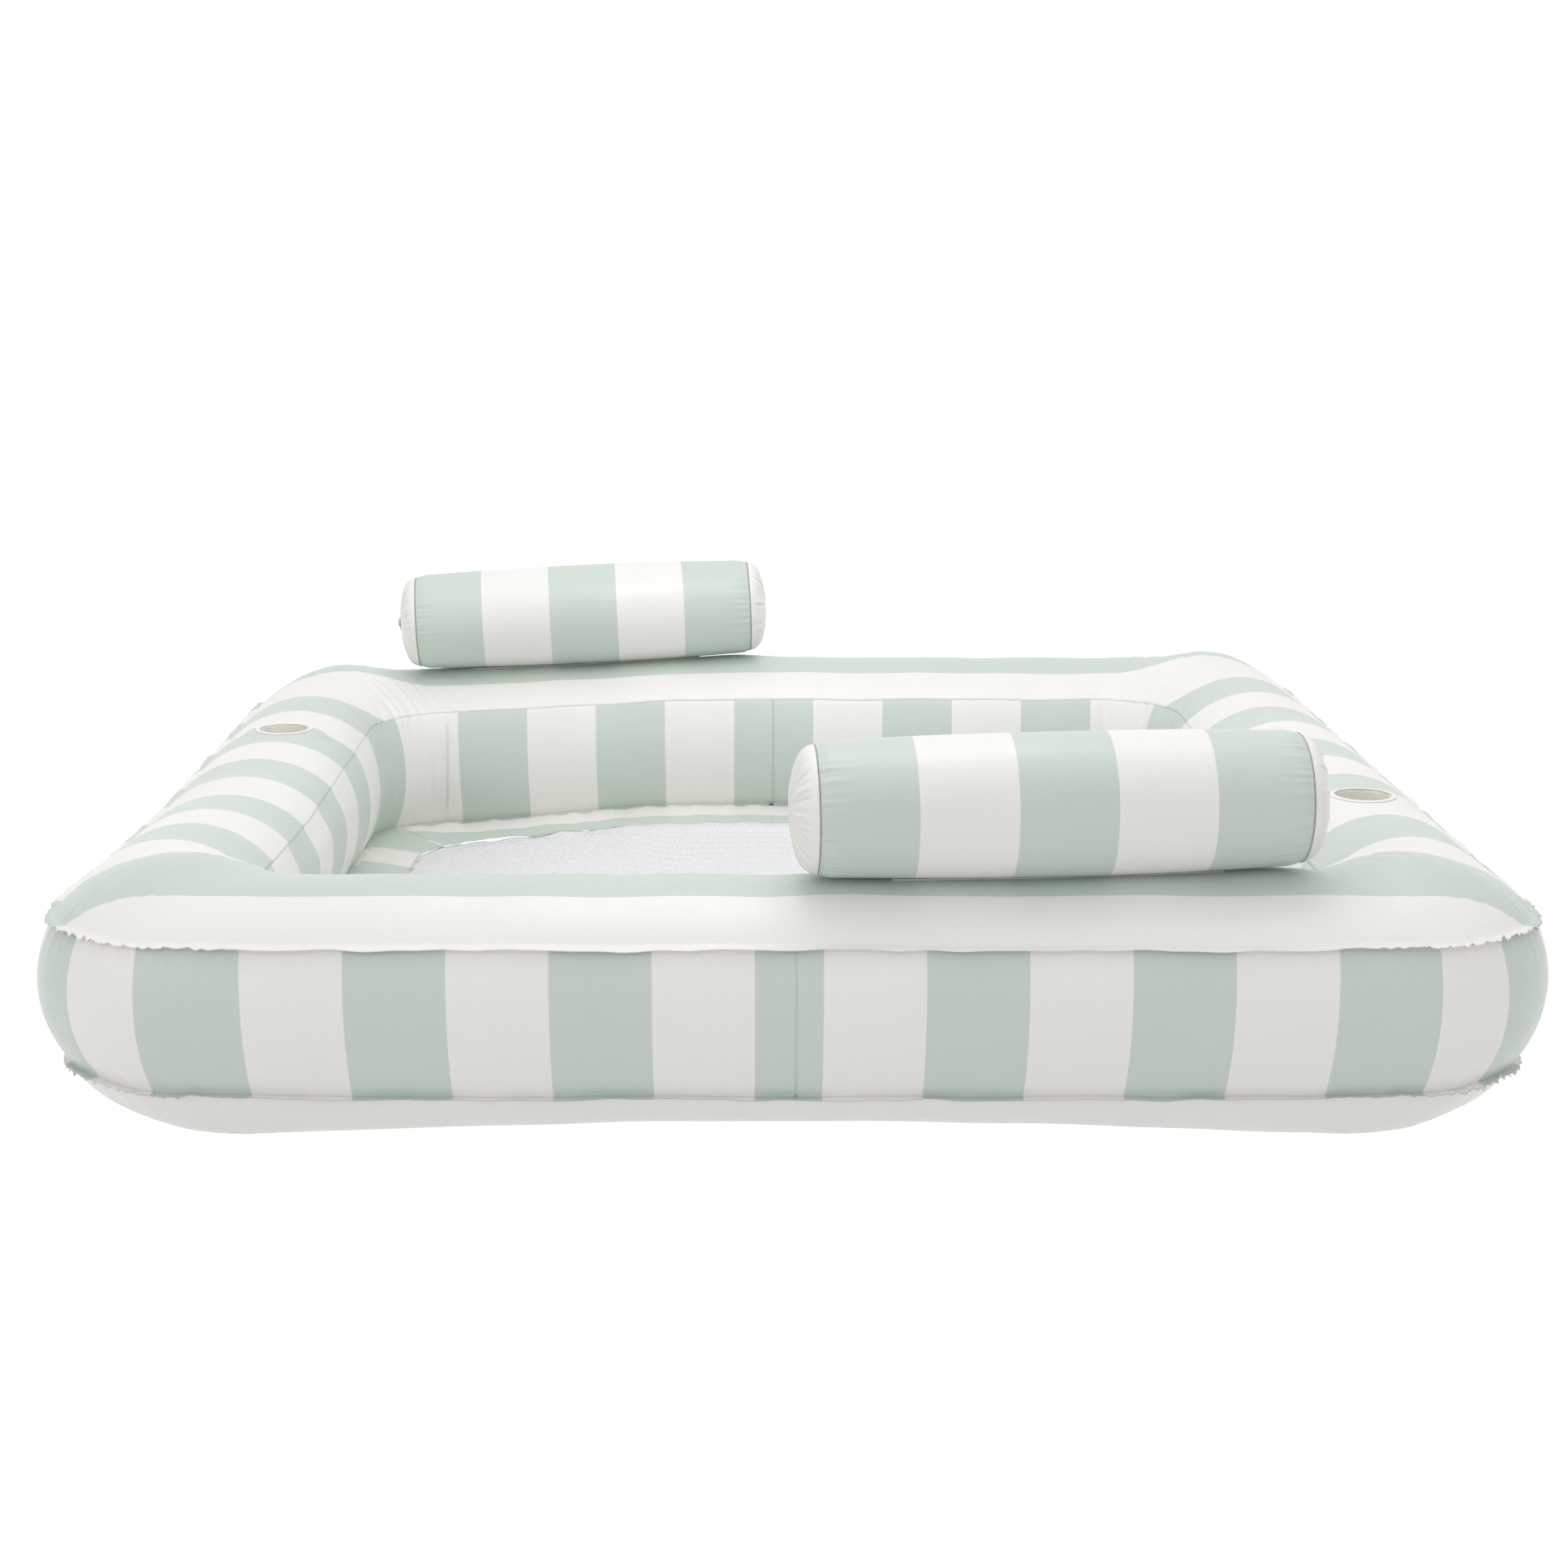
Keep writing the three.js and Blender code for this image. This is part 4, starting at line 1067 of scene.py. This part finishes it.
def cup_ring(x, y, radius, z, wobble, seed):
    """A ring of points at height z round a cup's axis, its radius wandering by the wobble."""
    t = np.arange(CUP_SIDES) / CUP_SIDES
    r = radius + wobble * noise(t, 9, seed)
    return np.stack([x + r * np.cos(2 * np.pi * t), y + r * np.sin(2 * np.pi * t), np.full(CUP_SIDES, z)], 1)


def cup_well(side, x, y, radius, foot):
    """Lining of a cup holder, hanging from its rim down to foot: it narrows as share^1.2, with a little
    waist and a slack wobble halfway."""
    rows = []
    inner = radius - 0.0004
    for share in np.linspace(0, 1, WELL_ROWS):
        wall = inner + (WELL_FOOT - inner) * share ** 1.2 - 0.0010 * math.sin(math.pi * share)
        height = (CUP_LEVEL + 0.0006) * (1 - share) + foot * share
        wobble = 0.0011 * math.sin(math.pi * min(1, share * 1.5))
        rows.append(cup_ring(x, y, wall, height, wobble, CUP_SEEDS[side]))
    turns, down = np.linspace(0, 2, CUP_SIDES + 1)[:, None], np.linspace(0, 0.12, WELL_ROWS)[None, :]
    uv = uv_grid((CUP_SIDES + 1, WELL_ROWS), turns, down)
    return sheet_mesh(f"cup_{side}_lining", settle(np.stack(rows, 1), hanging=True), uv, looped=True)


def cup_rim(side, x, y, radius):
    """Welded rim over the edge of the hole: rows (out from the well, up from the level) of its section."""
    section = [(-0.0008, 0.0004), (-0.0006, 0.0016), (0.0004, 0.0022), (0.0020, 0.0020), (0.0036, 0.0017),
               (0.0052, 0.0014), (0.0062, 0.0009), (0.0064, 0.0004), (0.0030, 0.0003), (-0.0008, 0.0004)]
    rows = [cup_ring(x, y, radius + reach, CUP_LEVEL + lift, 0.0003, CUP_SEEDS[side] + 1)
            for reach, lift in section]
    uv = uv_grid((CUP_SIDES + 1, len(section)), 1.0, 0.0)
    return closed_mesh(f"cup_{side}_weld_rim", settle(np.stack(rows, 1), hanging=True), uv, looped=True)


def build_cup(side, x, y, radius):
    """Cup well hanging from its rim, the rim welded down over the hole, and the base."""
    low, top = (corner.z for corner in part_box(f"cup_base_{side}"))
    settled = settle(np.array([[x, y, 0.0]]), hanging=True)[0, 2]
    lining = cup_well(side, x, y, radius, top + 0.0004 - settled)
    finish_piece(lining, "ring", material("cup"), "cream_vinyl", f"cup_well_{side}")
    rim = cup_rim(side, x, y, radius)
    finish_piece(rim, "ring", material("cream"), "weld_vinyl", f"cup_rim_{side}")
    profile = [(0.0, top + 0.0008), (0.012, top + 0.0006), (0.026, top + 0.0001), (0.0335, top),
               (0.0338, top - 0.0003), (0.0338, low), (0.0, low)]
    base = turned_mesh(f"cup_{side}_floor", profile, lambda local: local + np.array([x, y, 0.0]), sides=72)
    finish_piece(base, "ring", material("cup"), "cream_vinyl", f"cup_base_{side}")


# ---------- pillows ----------
PILLOW_SIZE = (0.0855, 0.0803, 0.290)  # radius in the middle and at the ends, half length


class PillowFrame:
    """Local X along the barrel, local Z up, origin on the barrel's axis, from the roll joint."""

    def __init__(self, side):
        joint = JOINTS[f"pillow_{side}_roll"]
        self.along = np.array(joint["axis"])
        over = np.cross(UPWARDS, self.along)
        self.over = over / np.linalg.norm(over)
        self.up = np.cross(self.along, self.over)
        self.radius, self.end_radius, self.half = PILLOW_SIZE
        self.foot = np.array(joint["pos_m"])
        self.origin = self.foot + self.up * (self.radius + 0.0003)

    def line(self, s):
        """Height of the barrel's lowest line at s along it."""
        swell = (self.radius - self.end_radius) * np.clip(np.abs(s) / self.half, 0, 1.1) ** 2.5
        return self.foot[2] + s * self.along[2] / np.linalg.norm(self.along[:2]) + swell

    def place(self, local):
        return (self.origin + local[..., :1] * self.along + local[..., 1:2] * self.over
                + local[..., 2:3] * self.up)


def slack(angle, x, half):
    """Radial change of a pillow: slow swells round and along it, none at its ends."""
    swell = 0.0007 * np.cos(3 * angle + 1.0) * np.cos(7 * x) + 0.0006 * np.cos(2 * angle + 9 * x)
    return swell * np.cos(np.pi * x / (2.2 * half))


PILLOW_ROUND = 288  # columns round a pillow
SHOULDER = 0.0036  # how much a barrel rounds off towards its end seams
PILLOW_LIP = 0.0014  # weld flange at a pillow's end seams
AROUND = np.arange(PILLOW_ROUND) / PILLOW_ROUND  # share of a turn at each column
TURNS = (np.arange(PILLOW_ROUND + 1) / PILLOW_ROUND)[:, None]  # the same and the first again, for prints


def lip_reach(which):
    """Width of the ragged weld flange at a pillow's end (0 or 1), round its seam."""
    return PILLOW_LIP * (1 + 0.42 * noise(AROUND, 60, 157 + which) + 0.20 * noise(AROUND, 125, 159 + which))


def round_pillow(place_in, x, r):
    """Points of a pillow's surface in the frame, from x along it and radius r, columns round it."""
    angle = 2 * np.pi * AROUND[:, None]
    return place_in.place(np.stack([np.broadcast_to(x, r.shape), r * np.sin(angle), -r * np.cos(angle)], 2))


def build_barrel(side, place_in):
    """Pillow barrel: x along, angle round; r = R - (R - E)(x/h)^2.5, so fullest in its middle, with fine
    wrinkles that run in from both end seams, and turned out into a ragged weld flange at each."""
    half, radius, end_radius = place_in.half, place_in.radius, place_in.end_radius
    t = np.linspace(-1, 1, 170)
    x = half * (1.3 * t - 0.3 * t ** 3)
    to_end = half - np.abs(x)
    right = (x[None, :] > 0).astype(float)
    wrinkle = noise(AROUND, 40, 151)[:, None] * right + noise(AROUND, 37, 153)[:, None] * (1 - right)
    r = radius - (radius - end_radius) * (np.abs(x) / half)[None, :] ** 2.5
    r = r - SHOULDER * np.exp(-(to_end / 0.010) ** 2)[None, :]
    r = r + 0.0010 * wrinkle * lump(to_end, 0.009)[None, :]
    r = r + slack(2 * np.pi * AROUND[:, None], x[None, :], half)
    reach = np.array([0.3, 0.6, 0.85, 1.0])
    lips = [end_radius - SHOULDER + lip_reach(which)[:, None] * reach[None, :] for which in (0, 1)]
    r = np.concatenate([lips[0][:, ::-1], r, lips[1]], 1)
    edge = np.full(len(reach), half - 0.0002)
    x = np.concatenate([-edge, x, edge])[None, :]
    uv = uv_grid((PILLOW_ROUND + 1, x.shape[1]), x / PILLOW_STRIPE, TURNS * 2 * np.pi * radius)
    weld = np.zeros(r.shape)
    weld[:, :4], weld[:, -4:] = reach[None, ::-1], reach[None, :]
    points = round_pillow(place_in, x, r)
    return sheet_mesh(f"pillow_{side}_barrel_skin", points[:, ::-1], uv[:, ::-1], looped=True,
                      weld=weld[:, ::-1])


def build_cap(side, which, place_in):
    """Pillow end cap: a dome, h = H (1 - (r/R)^2)^0.46, with radial puckers that fade from the seam
    inwards, and the flange it shares with the barrel. The outer one has the valve's hole."""
    radius, outer = place_in.end_radius - SHOULDER, which == "outer"
    hole, seed = (VALVE_HOLE, 171) if outer else (0.0, 173)
    rows = 56
    r = hole + (radius - hole) * np.sin(np.linspace(0, 1, rows) * np.pi / 2)
    rise = 0.0300 * np.clip(1 - (r / radius) ** 2, 0, 1) ** 0.46
    pucker = 0.0016 * noise(AROUND, 44, seed)[:, None] * lump(radius - r, 0.010)[None, :]
    pucker = pucker + 0.0010 * noise(AROUND, 17, seed + 1)[:, None] * lump(radius - r, 0.026)[None, :]
    middle = smoothstep(hole + 0.004, hole + 0.022, r)[None, :]
    h = np.concatenate([rise[None, :] + pucker * middle, np.zeros((PILLOW_ROUND, 3))], 1)
    edge = radius + np.array([0.34, 0.68, 1.0])[None, :] * lip_reach(int(outer))[:, None]
    r = np.concatenate([np.broadcast_to(r, (PILLOW_ROUND, rows)), edge], 1)
    x = (1.0 if outer else -1.0) * (place_in.half + 0.0006 + np.maximum(h, 0.0))
    uv = uv_grid((PILLOW_ROUND + 1, rows + 3), TURNS * 4, np.linspace(0, 0.1, rows + 3)[None, :])
    weld = np.zeros(r.shape)
    weld[:, -3:] = np.array([0.4, 0.7, 1.0])
    points = round_pillow(place_in, x, r)
    if not outer:
        points, uv, weld = points[:, ::-1], uv[:, ::-1], weld[:, ::-1]
    return sheet_mesh(f"pillow_{side}_{which}_cap_skin", points, uv, looped=True, weld=weld)


VALVE_HOLE = 0.0062  # radius of the hole in a cap for its valve


def build_tab(side, place_in):
    """The strip that holds a pillow down: a foot welded to the panel, its height that of the settled crest,
    and a thin web up to the barrel, one section swept along the pillow."""
    x = np.linspace(-0.200, 0.200, 120)
    line = place_in.place(np.stack([x, 0 * x, 0 * x - place_in.radius], 1))
    ground = crest_under(place_in, x)
    ground = ground + np.maximum(place_in.line(x) - PILLOW_REST - ground, 0)
    height = line[:, 2] - ground - 0.0002
    # the section: (across, share of the way up to the barrel, more height)
    half = [(-0.0140, 0, 0.0), (-0.0134, 0, 0.0006), (-0.0030, 0, 0.0008), (-0.0009, 0, 0.0013),
            (-0.0007, 1, -0.0004)]
    section = np.array(half + [(-across, share, more) for across, share, more in half[::-1]] + half[:1])
    across, share, more = section.T[:, None, :]
    y = across + 0.0006 * np.sin(47 * x)[:, None]
    z = -place_in.radius - height[:, None] * (1 - share) + more
    local = np.stack([np.broadcast_to(x[:, None], y.shape), y, z], 2)
    return closed_mesh(f"pillow_{side}_tab_strip", place_in.place(local), np.zeros(local.shape[:2] + (2,)))


# ---------- valves ----------
def rounded(points, radius, steps=4):
    """Rounds the corners of a profile: each corner becomes a quadratic curve of the given reach."""
    points = [np.array(p, float) for p in points]
    result = [points[0]]
    for before, corner, after in zip(points, points[1:], points[2:]):
        reach = min(radius, 0.45 * np.linalg.norm(corner - before), 0.45 * np.linalg.norm(after - corner))
        start = corner + (before - corner) / np.linalg.norm(before - corner) * reach
        end = corner + (after - corner) / np.linalg.norm(after - corner) * reach
        for k in np.linspace(0, 1, steps + 1):
            result.append((1 - k) ** 2 * start + 2 * k * (1 - k) * corner + k ** 2 * end)
    return result + [points[-1]]


# sections of a valve's turned parts in mm, (radius, height over the sheet), and the reach of their corners
VALVE_PARTS = {
    "flange": (0.25, [(5.9, 0.4), (13.9, 0.4), (13.9, 0.7), (12.6, 0.95), (9.6, 1.0), (9.2, 1.25), (8.8, 1.0),
                      (5.9, 1.0), (5.9, 0.4)]),
    "stem": (0.25, [(3.9, -12.9), (5.5, -12.9), (5.5, 1.45), (7.5, 1.45), (7.5, 2.3), (4.2, 2.3), (3.9, 2.0),
                    (3.9, -12.9)]),
    "flap": (0.15, [(0, -13.75), (4.5, -13.75), (4.5, -13.35), (0, -13.35)]),
    "plug": (0.4, [(0, 0.3), (2.8, 0.3), (3.2, 2.65), (6.4, 2.75), (6.4, 3.8), (5.6, 4.4), (3.4, 4.4),
                   (3.0, 4.0), (0, 4.0)]),
}
# flat bars in mm: the part whose body they ride, from, to, half width, low, high
VALVE_BARS = {"strap": ("plug", -8.7, -5.6, 1.4, 2.85, 3.45), "ear": ("stem", -9.9, -6.6, 1.9, 1.5, 2.3)}
HINGE_OUT, HINGE_UP = 0.00315, 0.0085  # the strap's hinge, from the middle of the valve on its sheet
MM = 0.001


def build_valve(name, flange_body):
    """Push-in valve: welded flange, stem with its lip and ear, check flap, and plug on its strap."""
    out = np.array(JOINTS[f"{name}_push"]["axis"])
    across = np.cross(out, -UPWARDS)
    origin = np.array(JOINTS[f"{name}_open"]["pos_m"]) - out * HINGE_OUT - UPWARDS * HINGE_UP

    def place(local):
        return origin - local[..., :1] * UPWARDS + local[..., 1:2] * across + local[..., 2:3] * out

    for part, (reach, section) in VALVE_PARTS.items():
        piece = turned_mesh(f"{name}_{part}_part", [p * MM for p in rounded(section, reach)], place)
        body = flange_body if part == "flange" else f"{name}_{part}"
        finish_piece(piece, body, material("valve"), "valve_vinyl", f"{name}_{part}")
    for part, (body, *sizes) in VALVE_BARS.items():
        local = valve_bar(*sizes)
        piece = closed_mesh(f"{name}_{part}", place(local * MM), np.zeros(local.shape[:2] + (2,)))
        finish_piece(piece, f"{name}_{body}", material("valve"), "valve_vinyl")


def valve_bar(first, last, width, low, high):
    """A flat bar along local X with one round end: its section is a superellipse of power 4."""
    t = np.linspace(0, 1, 14)
    taper = np.where(t < 0.3, np.sqrt(np.clip(1 - ((0.3 - t) / 0.33) ** 2, 0.05, 1)), 1.0)[:, None]
    phi = 2 * np.pi * np.append(np.arange(20), 0)[None, :] / 20
    y, z = (np.sign(wave) * np.abs(wave) ** 0.5 for wave in (np.cos(phi), np.sin(phi)))
    x = (first + (last - first) * t)[:, None]
    z = (low + high) / 2 + (high - low) / 2 * z
    return np.stack(np.broadcast_arrays(x, width * taper * y, z), 2)


# ---------- operators ----------
class FloatOperator(bpy.types.Operator):
    """Base of the float's operators."""
    bl_options = {"REGISTER", "UNDO"}

    def execute(self, context):
        self.build(context.scene.float_shape)
        return {"FINISHED"}


class FLOAT_OT_ring(FloatOperator):
    """Build the ring's panels and walls"""
    bl_idname = "pool_float.ring"
    bl_label = "Ring"

    def build(self, shape):
        striped, cream = material("striped"), material("cream")
        finish_piece(build_top_panel(shape), "ring", striped, "striped_vinyl", "top_panel")
        finish_piece(build_bottom_panel(shape), "ring", cream, "cream_vinyl", "bottom_panel")
        for side in SIDES:
            for kind, build in (("outer", build_outer_wall), ("inner", build_inner_wall)):
                node = f"{kind}_wall_{side}"
                finish_piece(build(shape, side), "ring", striped, "striped_vinyl", node)
        for node in ("divider_front", "divider_back"):
            obj = frame["nodes"][node]
            obj.data.materials.clear()
            obj.data.materials.append(cream)


class FLOAT_OT_floor(FloatOperator):
    """Build the floor border, the net and its stitching"""
    bl_idname = "pool_float.floor"
    bl_label = "Floor"

    def build(self, shape):
        for side in QUARTERS:
            piece = build_floor_border(side)
            finish_piece(piece, "ring", material("striped"), "striped_vinyl", f"floor_border_{side}")
        net = finish_piece(build_net(), "ring", material("net"), "net_fabric", "floor_mesh")
        thread = finish_piece(build_stitching(), "ring", material("thread"), "net_fabric")


class FLOAT_OT_cups(FloatOperator):
    """Build the two cup holders"""
    bl_idname = "pool_float.cups"
    bl_label = "Cup holders"

    def build(self, shape):
        for side, x, y, radius in cup_places():
            build_cup(side, x, y, radius)


class FLOAT_OT_pillows(FloatOperator):
    """Build the two roll pillows and the tabs that hold them"""
    bl_idname = "pool_float.pillows"
    bl_label = "Pillows"

    def build(self, shape):
        for side in SIDES:
            place_in, body = PillowFrame(side), f"pillow_{side}"
            barrel = build_barrel(side, place_in)
            finish_piece(barrel, body, material("striped"), "striped_vinyl", f"{body}_barrel")
            for which in ("outer", "inner"):
                cap = build_cap(side, which, place_in)
                finish_piece(cap, body, material("cream"), "cream_vinyl", f"{body}_{which}_cap")
            tab = build_tab(side, place_in)
            finish_piece(tab, "ring", material("cream"), "cream_vinyl", f"{body}_tab")


class FLOAT_OT_valves(FloatOperator):
    """Build the four push-in valves"""
    bl_idname = "pool_float.valves"
    bl_label = "Valves"

    def build(self, shape):
        for side in SIDES:
            build_valve(f"ring_valve_{side}", "ring")
            build_valve(f"pillow_{side}_valve", f"pillow_{side}")


class FLOAT_OT_stage(FloatOperator):
    """Make the floor, the soft studio light and the camera"""
    bl_idname = "pool_float.stage"
    bl_label = "Stage"

    def build(self, shape):
        scene = bpy.context.scene
        make_floor()
        make_world(scene)
        for lamp in LAMPS:
            make_lamp(*lamp)
        make_camera(scene)
        scene.view_settings.view_transform = "Standard"


# name, level, place, what it is aimed at, size
LAMPS = (
    ("overhead", 0.09, (0.0, -0.6, 6.0), (0.0, 0.0, 0.0), 6.0),
    ("left front", 0.07, (-4.0, -5.0, 3.0), (0.0, 0.0, 0.2), 3.0),
    ("lounge", 0.25, (0.1, -0.25, 2.3), (-0.15, 0.70, 0.15), 1.3),
)
CAMERA_PLACE, CAMERA_DIP = (-0.079, -3.893, 1.116), 12.36  # metres, and degrees below level
LENS, SENSOR, SHIFT = 61.5, 36.0, 0.0357  # millimetres, and a share of the picture's width
FLOOR_GREY = 0.40
FLOOR_GLOW, FLOOR_SEEN = 0.40, 0.48  # light the floor gives to the float, and more to the camera
WORLD_GLOW, WORLD_SEEN = 0.74, 1.06


def make_floor():
    """A plain white floor that keeps the float's shadow and lights up to white for the camera."""
    mesh = bpy.data.meshes.new("floor")
    far = 30.0
    mesh.from_pydata([(-far, -far, 0), (far, -far, 0), (far, far, 0), (-far, far, 0)], [], [(0, 1, 2, 3)])
    floor = bpy.data.objects.new("floor", mesh)
    bpy.context.scene.collection.objects.link(floor)
    white = bpy.data.materials.new("Studio floor")
    white.use_nodes = True
    w = Wiring(white.node_tree)
    shader = white.node_tree.nodes["Principled BSDF"]
    shader.inputs["Base Color"].default_value = (FLOOR_GREY, FLOOR_GREY, FLOOR_GREY, 1.0)
    shader.inputs["Roughness"].default_value = 0.95
    shader.inputs["Specular IOR Level"].default_value = 0.0
    shader.inputs["Emission Color"].default_value = (1.0, 1.0, 1.0, 1.0)
    w.feed(shader.inputs["Emission Strength"], w.math("MULTIPLY_ADD", w.seen(), FLOOR_SEEN, FLOOR_GLOW))
    mesh.materials.append(white)


def make_world(scene):
    """Even white surroundings: soft light on the object, plain white to the camera."""
    world = bpy.data.worlds.new("Studio")
    world.use_nodes = True
    scene.world = world
    w = Wiring(world.node_tree)
    background = world.node_tree.nodes["Background"]
    w.feed(background.inputs["Strength"], w.ramp(w.seen(), 0.0, 1.0, WORLD_GLOW, WORLD_SEEN))
    background.inputs["Color"].default_value = (1.0, 1.0, 1.0, 1.0)


def make_lamp(name, level, place, target, size):
    """A square soft lamp; level is the share of full white that it gives a surface facing it."""
    data = bpy.data.lights.new(name, "AREA")
    data.shape = "SQUARE"
    data.size = size
    reach = Vector(target) - Vector(place)
    data.energy = level * math.pi * math.pi * reach.length_squared
    lamp = bpy.data.objects.new(name, data)
    lamp.location = place
    lamp.rotation_euler = reach.to_track_quat("-Z", "Y").to_euler()
    bpy.context.scene.collection.objects.link(lamp)


def make_camera(scene):
    """Camera a little above the tubes, looking along +Y."""
    data = bpy.data.cameras.new("camera")
    data.lens = LENS
    data.sensor_width = SENSOR
    data.shift_x = SHIFT
    camera = bpy.data.objects.new("camera", data)
    camera.location = CAMERA_PLACE
    camera.rotation_euler = (math.radians(90 - CAMERA_DIP), 0.0, 0.0)
    scene.collection.objects.link(camera)
    scene.camera = camera


class FLOAT_PT_panel(bpy.types.Panel):
    """Sidebar panel that lists the operators and their settings."""
    bl_idname = "FLOAT_PT_panel"
    bl_label = "Pool float"
    bl_space_type = "VIEW_3D"
    bl_region_type = "UI"
    bl_category = "Pool float"

    def draw(self, context):
        for operator in OPERATORS:
            self.layout.operator(operator.bl_idname)
        for settings in (context.scene.float_shape, context.scene.float_colours):
            for key in settings.__annotations__:
                self.layout.prop(settings, key)


OPERATORS = (FLOAT_OT_ring, FLOAT_OT_floor, FLOAT_OT_cups, FLOAT_OT_pillows, FLOAT_OT_valves, FLOAT_OT_stage)
CLASSES = (FloatColours, FloatShape, *OPERATORS, FLOAT_PT_panel)


def register():
    for cls in CLASSES:
        bpy.utils.register_class(cls)
    bpy.types.Scene.float_colours = bpy.props.PointerProperty(type=FloatColours)
    bpy.types.Scene.float_shape = bpy.props.PointerProperty(type=FloatShape)


def unregister():
    del bpy.types.Scene.float_shape
    del bpy.types.Scene.float_colours
    for cls in reversed(CLASSES):
        bpy.utils.unregister_class(cls)


def main():
    register()
    for operator in OPERATORS:
        category, call = operator.bl_idname.split(".")
        getattr(getattr(bpy.ops, category), call)()


if __name__ == "__main__":
    main()
